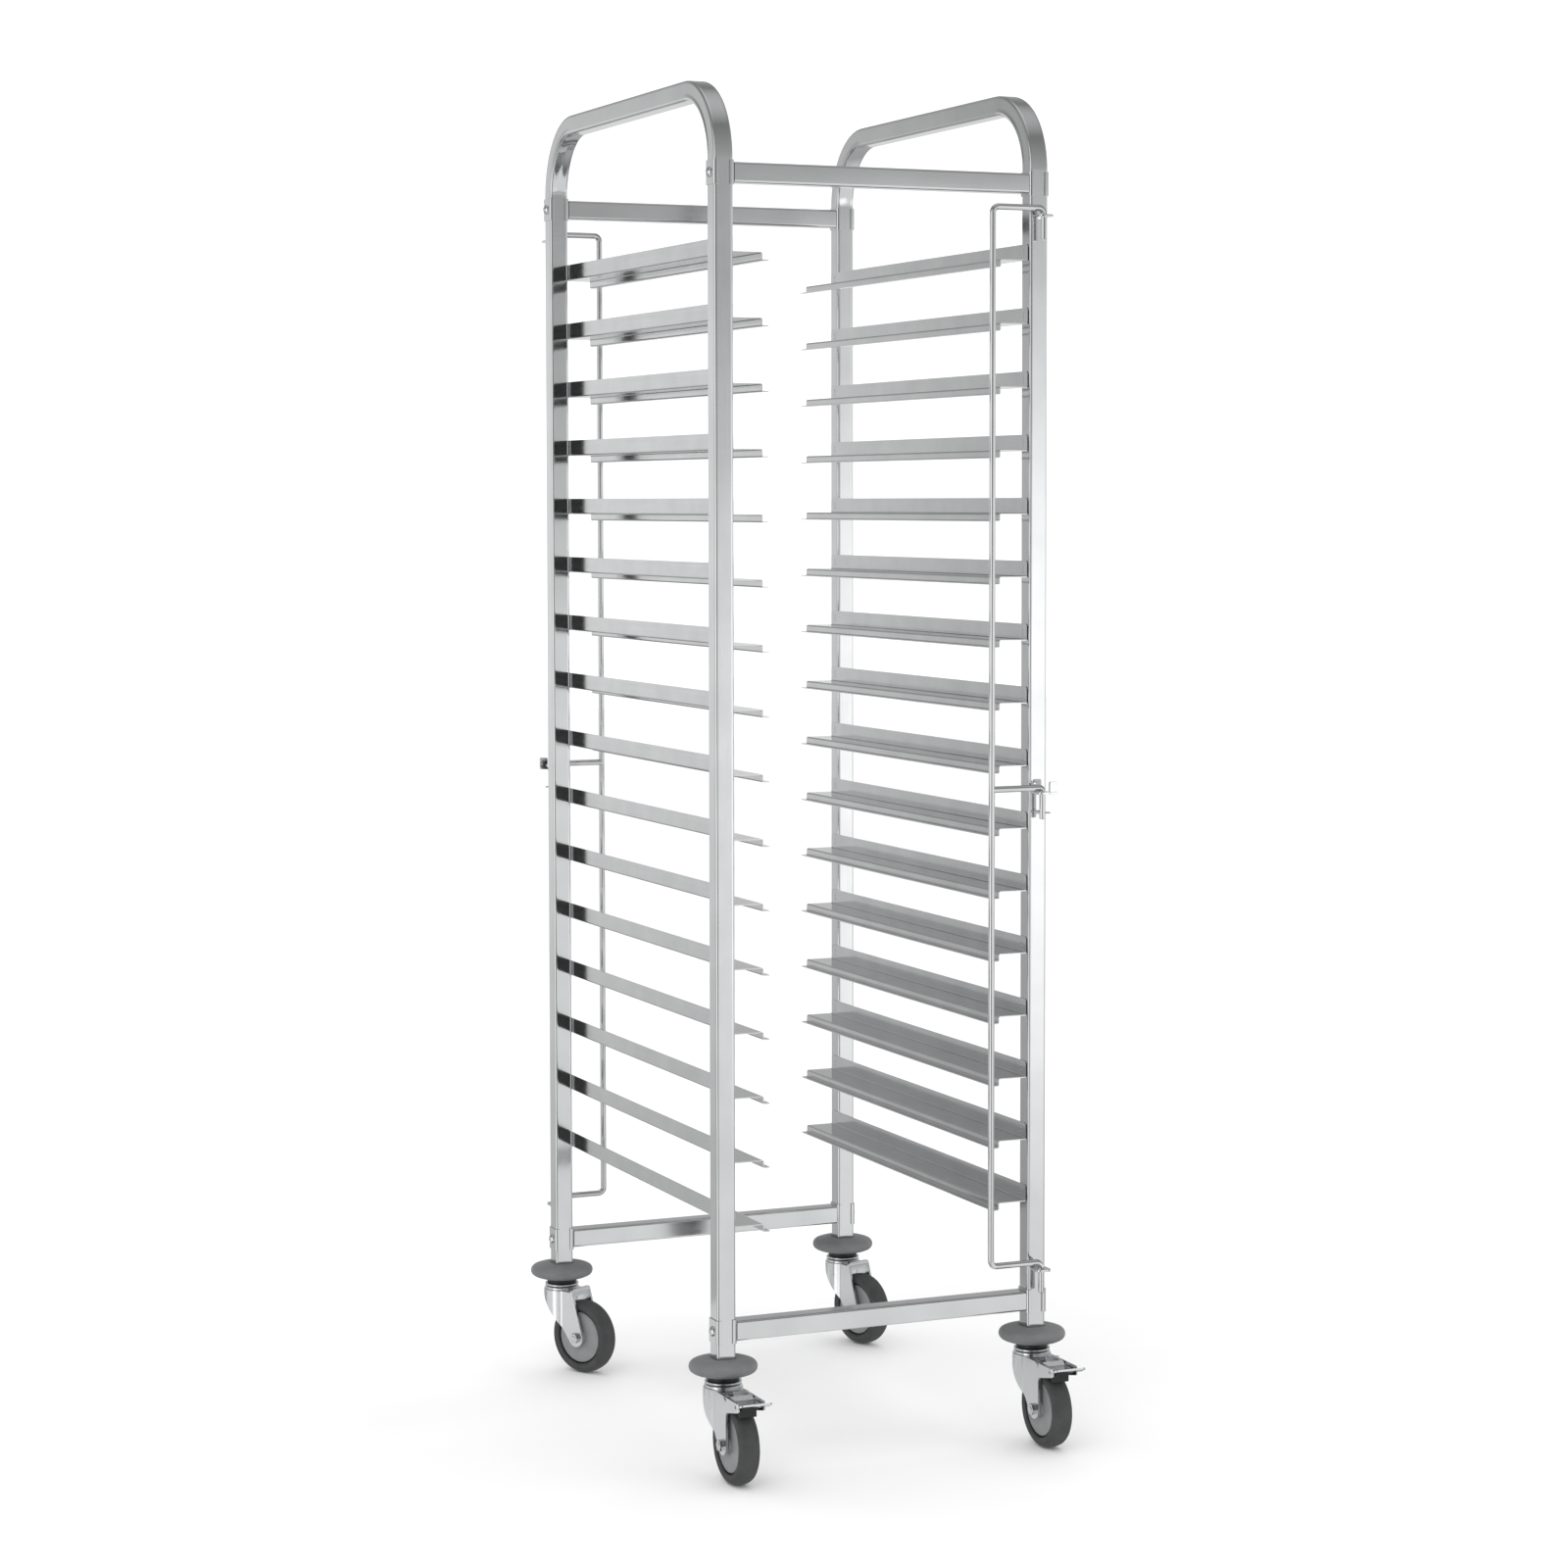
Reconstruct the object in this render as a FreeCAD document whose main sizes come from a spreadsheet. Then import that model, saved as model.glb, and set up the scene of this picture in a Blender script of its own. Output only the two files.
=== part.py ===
import FreeCAD, Part
import math
import os
from types import SimpleNamespace

import Sketcher

# A tray trolley: two bent tube side frames bolted to four cross rails, sixteen levels of folded
# sheet runners, a swinging lock bar at the front and at the back, and four swivel casters with
# bumper discs, the front pair braked. X runs along the rails, Y from the front to the back,
# and the floor is Z = 0.

SIZES = (
    ("frame_width", 455, "across the outer faces of the posts"),
    ("frame_depth", 620, "from the front face of the posts to the back"),
    ("frame_height", 1727, "from the floor to the top of the handles"),
    ("frame_setback", 32.5, "how far the frame's centre stands behind the origin"),
    ("tube_size", 25, "side of the square tube"),
    ("tube_wall", 1.2, "wall of the tube"),
    ("tube_corner", 3, "outer corner radius of the tube"),
    ("tube_bend", 90, "handle bend, to the tube's centre line"),
    ("top_rail_drop", 119.5, "from the top of the handles to the upper rails' centre"),
    ("bottom_rail_rise", 47, "from the feet of the posts to the lower rails' centre"),
    ("saddle_wall", 1.6, "sheet of the saddles and clamp plates"),
    ("saddle_height", 30, "height of the saddles and clamp plates"),
    ("saddle_wrap", 5, "how far their edges reach round the post"),
    ("saddle_fold", 1.5, "rounding of the saddles' folds"),
    ("clamp_fold", 2.5, "inner radius of the clamp plates' folds"),
    ("bolt_diameter", 6, "shank of the rail bolts"),
    ("bolt_clearance", 0.25, "room round the shank of a rail bolt"),
    ("bolt_head_diameter", 13, "domed head of the rail bolts"),
    ("bolt_head_height", 4.5, "height of the dome"),
    ("bolt_head_rim", 0.8, "straight rim under the dome"),
    ("bolt_grip", 8, "how far a bolt reaches into its rail"),
    ("runner_wall", 1.2, "sheet of the runners"),
    ("flange_height", 21, "upright flange of a runner"),
    ("shelf_width", 40, "from the post to the inner face of the drop"),
    ("drop_height", 9, "from the shelf down to the lip"),
    ("lip_width", 8, "lip inside the drop"),
    ("fold_radius", 1, "inner radius of a runner's folds"),
    ("runner_inset", 5, "from the posts' faces to the ends of the runners"),
    ("flange_corner", 4, "rounded upper corners of a flange"),
    ("weld_diameter", 4, "spot welds at the ends of a flange"),
    ("weld_height", 0.3, "how far a spot weld stands out"),
    ("weld_setback", 17, "from the posts' faces to the spot welds"),
    ("weld_drop", 7.5, "from the flange's edge to the upper weld"),
    ("weld_pitch", 5.5, "between the upper weld and the lower"),
    ("first_level_drop", 195, "from the top of the handles to the highest flange"),
    ("level_pitch", 80, "between one level and the next"),
    ("lowest_room", 50, "least room between the lowest runner and the lower rails"),
    ("rod_diameter", 8, "rod of the lock bars"),
    ("rod_bend", 8, "bends of the rod, to its centre line"),
    ("arm_bend", 4.5, "bend of the middle arm, to its centre line"),
    ("lock_reach", 72, "from the pin axis to the upright rod"),
    ("lock_standoff", 13, "from the post's face to the pin axis"),
    ("lock_top_drop", 151, "from the top of the handles to the upper run"),
    ("lock_middle_drop", 732, "from the upper run to the middle arm"),
    ("lock_bottom_rise", 53, "from the lower rails' centre to the lower run"),
    ("pin_length", 40, "from a run's centre line to the end of its pin"),
    ("pin_clearance", 0.1, "room round a pin in its lug"),
    ("lug_wall", 3, "plate of the lugs"),
    ("lug_width", 20, "width of a lug"),
    ("lug_reach", 24, "from the post's face to the end of a lug"),
    ("lug_corner", 6, "rounded corners at the end of a lug"),
    ("lug_gap", 0.3, "between a lug and the bend that rests over it"),
    ("stop_height", 13, "upturned edges of a middle lug"),
    ("stop_reach", 16, "from the pin axis to the end of a middle lug's front edge"),
    ("stop_width", 11, "width of that edge"),
    ("stop_corner", 2, "rounded upper corners of those edges"),
    ("rest_gap", 0.6, "between the middle arm and the edge it rests against"),
    ("cotter_diameter", 2.4, "wire of the cotters"),
    ("cotter_drop", 32, "from the middle arm to its cotter"),
    ("cotter_tail", 9, "from the pin axis to the cotter's tail"),
    ("cotter_eye", 2.6, "radius of the cotter's eye, to the wire's centre"),
    ("cotter_clearance", 0.2, "room round a cotter in its hole"),
    ("wheel_diameter", 100, "over the tyre"),
    ("tyre_width", 27, "width of the tyre"),
    ("tread_width", 18.5, "width of the tyre's crown"),
    ("tread_crown", 1.5, "rise of the tyre's crown"),
    ("tyre_shoulder", 5, "rounding of the tyre's shoulders"),
    ("hub_diameter", 74, "rim of the hub, inside the tyre"),
    ("tyre_seat_width", 24, "width of the tyre's seat on the hub"),
    ("hub_web_width", 22, "width of the hub over its flat faces"),
    ("hub_boss_width", 29, "length of the hub's boss"),
    ("hub_boss_diameter", 22, "outside of the hub's boss"),
    ("hub_face_diameter", 70, "flat face of the hub"),
    ("hub_groove_depth", 6, "groove between that face and the rim"),
    ("hub_clearance", 0.1, "room between hub and bush"),
    ("bond_gap", 0.05, "bond line between hub and tyre"),
    ("bush_diameter", 12, "outside of the wheel's bush"),
    ("axle_diameter", 8, "axle bolt"),
    ("axle_clearance", 0.15, "room round the axle"),
    ("axle_head_across", 13, "hexagon head and nut, across the flats"),
    ("axle_head_height", 5, "height of the head and of the nut"),
    ("caster_trail", 42, "from the swivel axis back to the axle"),
    ("rear_left_turn", 28, "how far the left rear caster stands turned, in degrees"),
    ("rear_right_turn", 16, "how far the right rear caster stands turned, in degrees"),
    ("fork_gap", 32, "between the legs of a fork"),
    ("fork_wall", 3, "sheet of a fork"),
    ("cup_diameter", 50, "round cup at the top of a fork"),
    ("cup_rim", 7, "depth of the cup at its back"),
    ("cup_rim_back", 18, "from the swivel axis back to where the cup's rim begins"),
    ("cup_blend", 8, "hollow between the cup and a leg"),
    ("fork_edge", 1.5, "rounding of the fork's top edge"),
    ("knee_forward", 5, "from the swivel axis to the bend in a leg's back edge"),
    ("knee_rise", 27, "that bend above the axle"),
    ("fork_front", 36, "from the swivel axis to the front of the fork's top"),
    ("leg_end_radius", 12.5, "rounded end of a leg round the axle"),
    ("apron_wall", 3, "front wall of a rear fork"),
    ("apron_rise", 4, "front wall above the fork's top"),
    ("apron_drop", 3.5, "front wall below the fork's roof"),
    ("apron_corner", 4, "rounded corners of the front wall"),
    ("wheel_gap", 10, "between the wheel and the fork's top"),
    ("arm_reach", 92, "from the swivel axis to the end of a brake arm"),
    ("arm_depth", 11.5, "depth of a brake arm at its end"),
    ("arm_root", 20, "depth of a brake arm where it leaves its leg"),
    ("arm_root_radius", 6, "hollow between arm and leg"),
    ("arm_corner", 3.5, "rounded corners at the end of an arm"),
    ("arm_hole_diameter", 4.5, "hole near the end of a brake arm"),
    ("arm_hole_setback", 6.5, "from the end of the arm to that hole"),
    ("race_diameter", 47, "lower race, pressed in the fork"),
    ("race_height", 3, "height of the lower race"),
    ("race_gap", 1, "running gap between the races"),
    ("upper_race_diameter", 47, "upper race on the stem"),
    ("upper_race_height", 3.5, "height of the upper race"),
    ("race_round", 1.2, "rounded edges of the races"),
    ("king_pin_diameter", 10, "king pin through the fork"),
    ("king_pin_clearance", 0.1, "room round the king pin"),
    ("king_head_diameter", 18, "riveted head under the fork"),
    ("king_head_height", 3.5, "height of that head"),
    ("stem_diameter", 12, "stem up into the post"),
    ("stem_clearance", 0.2, "room round the stem"),
    ("stem_end", 3, "how far the stem stands out of its sleeve"),
    ("sleeve_length", 30, "expanding sleeve in the post"),
    ("sleeve_clearance", 0.2, "room between sleeve and tube"),
    ("seal_diameter", 40, "dust seal over the upper race"),
    ("seal_height", 6.5, "height of the dust seal"),
    ("bumper_diameter", 86, "rim of a bumper disc"),
    ("bumper_thickness", 21, "thickness of a bumper disc"),
    ("bumper_rim_radius", 7.5, "rounding of a bumper's rim"),
    ("bumper_floor", 8, "bumper under the foot of its post"),
    ("bumper_base_diameter", 44, "flat underside of a bumper"),
    ("bumper_crown_diameter", 38, "flat top of a bumper round its post"),
    ("socket_clearance", 0.3, "room round the post in its bumper"),
    ("brake_pin_forward", 50, "from the swivel axis to the pedal's pin"),
    ("brake_pin_drop", 4.5, "pedal's pin below the fork's top face"),
    ("brake_pin_diameter", 4, "pedal's pin"),
    ("brake_pin_clearance", 0.1, "room round the pedal's pin"),
    ("pin_head_diameter", 7, "heads of the pedal's pin"),
    ("pin_head_height", 1.5, "height of those heads"),
    ("pedal_width", 29, "width of a brake pedal"),
    ("pedal_wall", 2.5, "sheet of a brake pedal"),
    ("pedal_reach", 108, "from the swivel axis to the end of a pedal"),
    ("pedal_rise", 2.5, "pedal plate over the pin's axis"),
    ("pedal_step", 4.5, "how far the pedal steps down in front of its ears"),
    ("pedal_lip", 6, "rise of the pedal's foot to its end"),
    ("foot_width", 44, "width of the pedal's foot"),
    ("foot_gap", 2.5, "from the end of the brake arms to the foot"),
    ("foot_corner", 5, "rounded corners of the foot"),
    ("pedal_ear_radius", 5, "ears of a pedal round its pin"),
    ("release_width", 18, "raised release tab of a pedal"),
    ("release_height", 6, "height of the release tab"),
    ("release_forward", 6.5, "from the pedal's pin to the release tab"),
    ("shoe_width", 23, "width of a brake shoe"),
    ("shoe_back", 16, "from the pedal's pin to the back of the shoe"),
    ("shoe_front", 38, "from the pedal's pin to the front of the shoe"),
    ("shoe_heel", 30, "from the pedal's pin to the front of the shoe's heel"),
    ("shoe_toe_height", 5, "height of the shoe's toe"),
    ("shoe_heel_height", 15, "height of the shoe's heel"),
    ("brake_gap", 6, "between the shoe and the tyre"),
)

doc = FreeCAD.newDocument("tray_trolley")
sheet = doc.addObject("Spreadsheet::Sheet", "Sizes")
for row, (alias, value, note) in enumerate(SIZES, start=1):
    sheet.set(f"A{row}", note)
    sheet.set(f"B{row}", str(value))
    sheet.setAlias(f"B{row}", alias)
doc.recompute()


class Formula:
    """A size, or a sum of sizes: its text binds a property, its value starts the geometry."""

    def __init__(self, text, value):
        self.text = text
        self.value = value

    def __add__(self, other):
        other = formula(other)
        return Formula(f"({self.text} + {other.text})", self.value + other.value)

    def __sub__(self, other):
        other = formula(other)
        return Formula(f"({self.text} - {other.text})", self.value - other.value)

    def __mul__(self, factor):
        return Formula(f"({self.text} * {factor})", self.value * factor)

    def __truediv__(self, divisor):
        return Formula(f"({self.text} / {divisor})", self.value / divisor)

    def __neg__(self):
        return Formula(f"(-{self.text})", -self.value)


def formula(number):
    return number if isinstance(number, Formula) else Formula(repr(number), number)


def along(length, turn):
    """The parts of a length, turned from -Y towards +X, along X and along Y."""
    angle = math.radians(turn.value)
    across = Formula(f"({length.text} * sin({turn.text}))", length.value * math.sin(angle))
    back = Formula(f"(-{length.text} * cos({turn.text}))", -length.value * math.cos(angle))
    return across, back


s = SimpleNamespace(**{alias: Formula(f"Sizes.{alias}", float(sheet.get(alias))) for alias, _, _ in SIZES})

# Heights of the caster's stack, from the floor up, and the places that the frame takes from it.
axle_z = s.wheel_diameter / 2
fork_roof_z = s.wheel_diameter + s.wheel_gap
fork_top_z = fork_roof_z + s.fork_wall
lower_race_z = fork_top_z + s.race_height
upper_race_z = lower_race_z + s.race_gap
stem_shoulder_z = upper_race_z + s.upper_race_height
bumper_z = stem_shoulder_z + s.seal_height
post_foot_z = bumper_z + s.bumper_floor
top_rail_z = s.frame_height - s.top_rail_drop
bottom_rail_z = post_foot_z + s.bottom_rail_rise
post_x = (s.frame_width - s.tube_size) / 2
post_y = (s.frame_depth - s.tube_size) / 2
post_inner_x = s.frame_width / 2 - s.tube_size
half_tube = s.tube_size / 2
first_level_z = s.frame_height - s.first_level_drop
lock_top_z = s.frame_height - s.lock_top_drop
lock_middle_z = lock_top_z - s.lock_middle_drop
lock_bottom_z = bottom_rail_z + s.lock_bottom_rise
lock_y = s.frame_depth / 2 + s.lock_standoff
brake_pin_z = fork_top_z - s.brake_pin_drop
pedal_z = brake_pin_z + s.pedal_rise
pedal_foot_z = pedal_z - s.pedal_step
fork_width = s.fork_gap + s.fork_wall * 2
straight = formula(0)
turns = {"rear_left": s.rear_left_turn, "rear_right": s.rear_right_turn}

nodes = []


def bind(item, name, size):
    item.setExpression(name, formula(size).text)


def vector(x, y):
    return FreeCAD.Vector(formula(x).value, formula(y).value, 0)


def new_body(name):
    return doc.addObject("PartDesign::Body", name)


def new_sketch(body, role, shift=(0, 0, 0)):
    """A sketch on one of the body's own origin planes, shifted in and off that plane."""
    sketch = body.newObject("Sketcher::SketchObject", f"{body.Name}_sketch")
    plane = next(item for item in body.Origin.OriginFeatures if item.Role == role)
    sketch.AttachmentSupport = (plane, [""])
    sketch.MapMode = "FlatFace"
    for axis, amount in zip("xyz", shift):
        bind(sketch, f"AttachmentOffset.Base.{axis}", amount)
    return sketch


def pin(sketch, geometry, point, x, y):
    """Holds a point of the sketch at x, y from the sketch's origin."""
    for kind, size in (("DistanceX", formula(x)), ("DistanceY", formula(y))):
        row = sketch.addConstraint(Sketcher.Constraint(kind, -1, 1, geometry, point, size.value))
        bind(sketch, f"Constraints[{row}]", size)


def join(sketch, first, first_point, second, second_point):
    sketch.addConstraint(Sketcher.Constraint("Coincident", first, first_point, second, second_point))


def outline(sketch, points):
    """A closed outline of straight edges."""
    start = sketch.GeometryCount
    count = len(points)
    for index, point in enumerate(points):
        after = points[(index + 1) % count]
        sketch.addGeometry(Part.LineSegment(vector(*point), vector(*after)))
    for index, point in enumerate(points):
        join(sketch, start + index, 2, start + (index + 1) % count, 1)
        pin(sketch, start + index, 1, *point)


def circle(sketch, x, y, diameter):
    diameter = formula(diameter)
    ring = sketch.addGeometry(Part.Circle(vector(x, y), FreeCAD.Vector(0, 0, 1), diameter.value / 2))
    pin(sketch, ring, 3, x, y)
    row = sketch.addConstraint(Sketcher.Constraint("Diameter", ring, diameter.value))
    bind(sketch, f"Constraints[{row}]", diameter)


def chain(sketch, points):
    """Straight edges from point to point; gives the first edge and the last."""
    start = sketch.GeometryCount
    for first, last in zip(points, points[1:]):
        line = sketch.addGeometry(Part.LineSegment(vector(*first), vector(*last)))
        pin(sketch, line, 1, *first)
        if line > start:
            join(sketch, line - 1, 2, line, 1)
    pin(sketch, line, 2, *points[-1])
    return start, line


def arc_through(sketch, first, middle, last):
    """An arc through three points; gives the edge and the numbers of its first and last ends."""
    arc = sketch.addGeometry(Part.Arc(first, middle, last))
    gaps = [sketch.getPoint(arc, end).distanceToPoint(first) for end in (1, 2)]
    return (arc, 1, 2) if gaps[0] < gaps[1] else (arc, 2, 1)


def hold_radius(sketch, arc, radius):
    row = sketch.addConstraint(Sketcher.Constraint("Radius", arc, radius.value))
    bind(sketch, f"Constraints[{row}]", radius)


def crown_radius(reach, rise):
    """Radius of a crown from half its width and its rise."""
    value = (reach.value ** 2 + rise.value ** 2) / (2 * rise.value)
    return Formula(f"(({reach.text} ^ 2 + {rise.text} ^ 2) / (2 * {rise.text}))", value)


def corner_arc(sketch, start, corner, end, radius):
    """A quarter bend that leaves one straight run at start and meets the next at end."""
    a, c, b = vector(*start), vector(*corner), vector(*end)
    centre = a + b - c
    middle = centre + (c - centre).normalize() * radius.value
    edge = arc_through(sketch, a, middle, b)
    hold_radius(sketch, edge[0], radius)
    return edge


def bent_line(sketch, corners, radius, closed=False):
    """Straight runs along the sketch's axes, joined by quarter bends of one radius."""
    count = len(corners)
    ends = [vector(*corner) for corner in corners]
    bends = range(count) if closed else range(1, count - 1)
    before, after = {}, {}
    for index in bends:
        inward = (ends[index] - ends[index - 1]).normalize()
        outward = (ends[(index + 1) % count] - ends[index]).normalize()
        x, y = formula(corners[index][0]), formula(corners[index][1])
        before[index] = (x - radius * round(inward.x), y - radius * round(inward.y))
        after[index] = (x + radius * round(outward.x), y + radius * round(outward.y))
    arcs = {i: corner_arc(sketch, before[i], corners[i], after[i], radius) for i in bends}
    for index in range(count if closed else count - 1):
        following = (index + 1) % count
        first = after.get(index, corners[index])
        last = before.get(following, corners[following])
        line = sketch.addGeometry(Part.LineSegment(vector(*first), vector(*last)))
        pin(sketch, line, 1, *first)
        pin(sketch, line, 2, *last)
        if index in arcs:
            join(sketch, arcs[index][0], arcs[index][2], line, 1)
        if following in arcs:
            join(sketch, arcs[following][0], arcs[following][1], line, 2)


def rectangle(width, height, x=0, y=0):
    width, height, x, y = formula(width), formula(height), formula(x), formula(y)
    left, right = x - width / 2, x + width / 2
    low, high = y - height / 2, y + height / 2
    return [(left, low), (right, low), (right, high), (left, high)]


def extrude(body, kind, sketch, length, symmetric=True, reverse=False):
    """A pad or a pocket, to both sides of its sketch or to one."""
    feature = body.newObject(f"PartDesign::{kind}", f"{body.Name}_{kind}")
    feature.Profile = sketch
    feature.SideType = "Symmetric" if symmetric else "One side"
    feature.Reversed = reverse
    bind(feature, "Length", length)
    sketch.Visibility = False
    return feature


def pad(body, sketch, length, **way):
    return extrude(body, "Pad", sketch, length, **way)


def pocket(body, sketch, length, **way):
    """A cut, which has to take something away."""
    doc.recompute()
    whole = body.Shape.Volume
    feature = extrude(body, "Pocket", sketch, length, **way)
    doc.recompute()
    if body.Shape.Volume > whole * 0.99999:
        raise RuntimeError(f"{feature.Name} cuts nothing")
    return feature


def revolve(body, sketch, axis):
    feature = body.newObject("PartDesign::Revolution", f"{body.Name}_turned")
    feature.Profile = sketch
    feature.ReferenceAxis = (sketch, [axis])
    feature.Angle = 360
    return feature


def sweep(body, kind, profile, path):
    doc.recompute()
    feature = body.newObject(f"PartDesign::{kind}Pipe", f"{body.Name}_{kind}")
    feature.Profile = profile
    feature.Spine = (path, [f"Edge{index + 1}" for index in range(len(path.Shape.Edges))])
    return feature


def fillet(body, radius, chosen):
    """Rounds the edges of the body's last feature that the test chooses."""
    doc.recompute()
    base = body.Tip
    names = [f"Edge{i}" for i, edge in enumerate(base.Shape.Edges, start=1) if chosen(edge)]
    feature = body.newObject("PartDesign::Fillet", f"{body.Name}_rounded")
    feature.Base = (base, names)
    bind(feature, "Radius", radius)
    return feature


def lies_at(edge, **place):
    """Whether both ends of an edge lie at the coordinates that are given."""
    ends = [vertex.Point for vertex in edge.Vertexes]
    return len(ends) == 2 and all(
        abs(getattr(end, axis) - formula(size).value) < 0.01 for end in ends for axis, size in place.items()
    )


def is_ring(edge, diameter, z=None):
    """Whether an edge is round with that diameter, and at that height if one is given."""
    curve = edge.Curve
    return (
        isinstance(curve, Part.Circle)
        and abs(curve.Radius * 2 - diameter.value) < 0.01
        and (z is None or abs(curve.Center.z - z.value) < 0.01)
    )


def place(item, x=0, y=0, z=0, turn=straight):
    """Puts a piece at x, y, z in the frame, turned about Z."""
    turn = formula(turn)
    item.Placement = FreeCAD.Placement(FreeCAD.Vector(), FreeCAD.Rotation(FreeCAD.Vector(0, 0, 1), 1))
    bind(item, ".Placement.Rotation.Angle", turn)
    bind(item, ".Placement.Base.x", x)
    bind(item, ".Placement.Base.y", formula(y) + s.frame_setback)
    bind(item, ".Placement.Base.z", z)
    return item


def copy_of(pattern, name, x=0, y=0, z=0, turn=straight):
    """A further piece of the same pattern, in its own place."""
    body = doc.addObject("PartDesign::Body", name)
    base = doc.addObject("PartDesign::FeatureBase", f"{name}_base")
    base.BaseFeature = pattern
    body.Group = [base]
    body.Tip = base
    return place(body, x, y, z, turn)


def node(item, label):
    """Names a piece, or a group of like pieces, as a sub-part of the trolley."""
    item.Label = label
    nodes.append(item)
    return item


def group(label, items):
    bundle = doc.addObject("Part::Compound", label)
    bundle.Links = items
    return node(bundle, label)


# The four corners: name, side, end, and whether the caster there is a front one.
CORNERS = (
    ("front_left", -1, -1),
    ("front_right", 1, -1),
    ("rear_left", -1, 1),
    ("rear_right", 1, 1),
)


def at_corners(pattern, label):
    """One piece of a pattern on the swivel axis of each caster, as a group."""
    return group(label, [
        copy_of(pattern, f"{label}_{corner}", post_x * side, post_y * end)
        for corner, side, end in CORNERS
    ])


def side_frame():
    """A square tube bent to an upside-down U, drilled through its sides for the rails' bolts."""
    body = new_body("side_frame")
    path = new_sketch(body, "YZ_Plane")
    handle_z = s.frame_height - half_tube
    corners = [(-post_y, post_foot_z), (-post_y, handle_z), (post_y, handle_z), (post_y, post_foot_z)]
    bent_line(path, corners, s.tube_bend)
    section = new_sketch(body, "XY_Plane", (0, 0, post_foot_z))
    bent_line(section, rectangle(s.tube_size, s.tube_size, 0, -post_y), s.tube_corner, closed=True)
    sweep(body, "Additive", section, path)
    bore = s.tube_size - s.tube_wall * 2
    hollow = new_sketch(body, "XY_Plane", (0, 0, post_foot_z))
    outline(hollow, rectangle(bore, bore, 0, -post_y))
    sweep(body, "Subtractive", hollow, path)
    holes = new_sketch(body, "YZ_Plane")
    for y in (-post_y, post_y):
        for z in (bottom_rail_z, top_rail_z):
            circle(holes, y, z, s.bolt_diameter + s.bolt_clearance * 2)
    pocket(body, holes, s.tube_size * 2)
    return body


def saddle_outline(face_x, outward):
    """Plan of a saddle on a post's face: a plate whose edges turn round the post's corners."""
    wide, narrow = half_tube + s.saddle_wall, half_tube
    back = face_x + s.saddle_wall * outward
    edge = face_x - s.saddle_wrap * outward
    half = [(back, wide), (edge, wide), (edge, narrow), (face_x, narrow)]
    return half + [(x, -y) for x, y in reversed(half)]


def rail():
    """A cross rail: a length of tube with a saddle welded to each end."""
    body = new_body("rail")
    seat_x = post_inner_x - s.saddle_wall
    for side in (-1, 1):
        plan = new_sketch(body, "XY_Plane")
        outline(plan, saddle_outline(post_inner_x * side, -side))
        pad(body, plan, s.saddle_height)
    wide = half_tube + s.saddle_wall
    folds = [(seat_x * side, wide * end) for side in (-1, 1) for end in (-1, 1)]
    fillet(body, s.saddle_fold, lambda edge: any(lies_at(edge, x=x, y=y) for x, y in folds))
    section = new_sketch(body, "YZ_Plane")
    bent_line(section, rectangle(s.tube_size, s.tube_size), s.tube_corner, closed=True)
    bore = s.tube_size - s.tube_wall * 2
    outline(section, rectangle(bore, bore))
    pad(body, section, seat_x * 2)
    hole = new_sketch(body, "YZ_Plane")
    circle(hole, 0, 0, s.bolt_diameter + s.bolt_clearance * 2)
    pocket(body, hole, s.frame_width)
    return body


def clamp_plate():
    """The plate on a post's outer face, with its back towards -X and the post's face at X = 0."""
    body = new_body("clamp_plate")
    plan = new_sketch(body, "XY_Plane")
    outline(plan, saddle_outline(straight, -1))
    pad(body, plan, s.saddle_height)
    wide = half_tube + s.saddle_wall
    fillet(body, s.clamp_fold, lambda edge: any(lies_at(edge, x=0, y=half_tube * end) for end in (-1, 1)))
    outer = s.clamp_fold + s.saddle_wall
    fillet(body, outer, lambda edge: any(lies_at(edge, x=-s.saddle_wall, y=wide * end) for end in (-1, 1)))
    hole = new_sketch(body, "YZ_Plane")
    circle(hole, 0, 0, s.bolt_diameter + s.bolt_clearance * 2)
    pocket(body, hole, s.tube_size)
    return body


def rail_bolt():
    """A bolt along X whose domed head seats on the clamp plate's back."""
    body = new_body("rail_bolt")
    profile = new_sketch(body, "XY_Plane")
    seat_x = -s.saddle_wall
    tip_x = s.tube_size + s.saddle_wall + s.bolt_grip
    crown_x, rim_x = seat_x - s.bolt_head_height, seat_x - s.bolt_head_rim
    shank, head = s.bolt_diameter / 2, s.bolt_head_diameter / 2
    points = [(crown_x, 0), (tip_x, 0), (tip_x, shank), (seat_x, shank), (seat_x, head), (rim_x, head)]
    first, last = chain(profile, points)
    radius = crown_radius(head, s.bolt_head_height - s.bolt_head_rim)
    centre = vector(crown_x + radius, 0)
    crown, edge = vector(crown_x, 0), vector(rim_x, head)
    middle = centre + ((crown + edge) * 0.5 - centre).normalize() * radius.value
    dome, at_edge, at_crown = arc_through(profile, edge, middle, crown)
    join(profile, dome, at_edge, last, 2)
    join(profile, dome, at_crown, first, 1)
    hold_radius(profile, dome, radius)
    revolve(body, profile, "H_Axis")
    return body


def at_rail_ends(pattern, label):
    """One piece of a pattern at each end of each rail, its back away from the trolley."""
    items = []
    for corner, side, end in CORNERS:
        turn = formula(0 if side < 0 else 180)
        for height, z in (("top", top_rail_z), ("bottom", bottom_rail_z)):
            name = f"{label}_{height}_{corner}"
            items.append(copy_of(pattern, name, s.frame_width * (side / 2), post_y * end, z, turn))
    return group(label, items)


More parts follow.
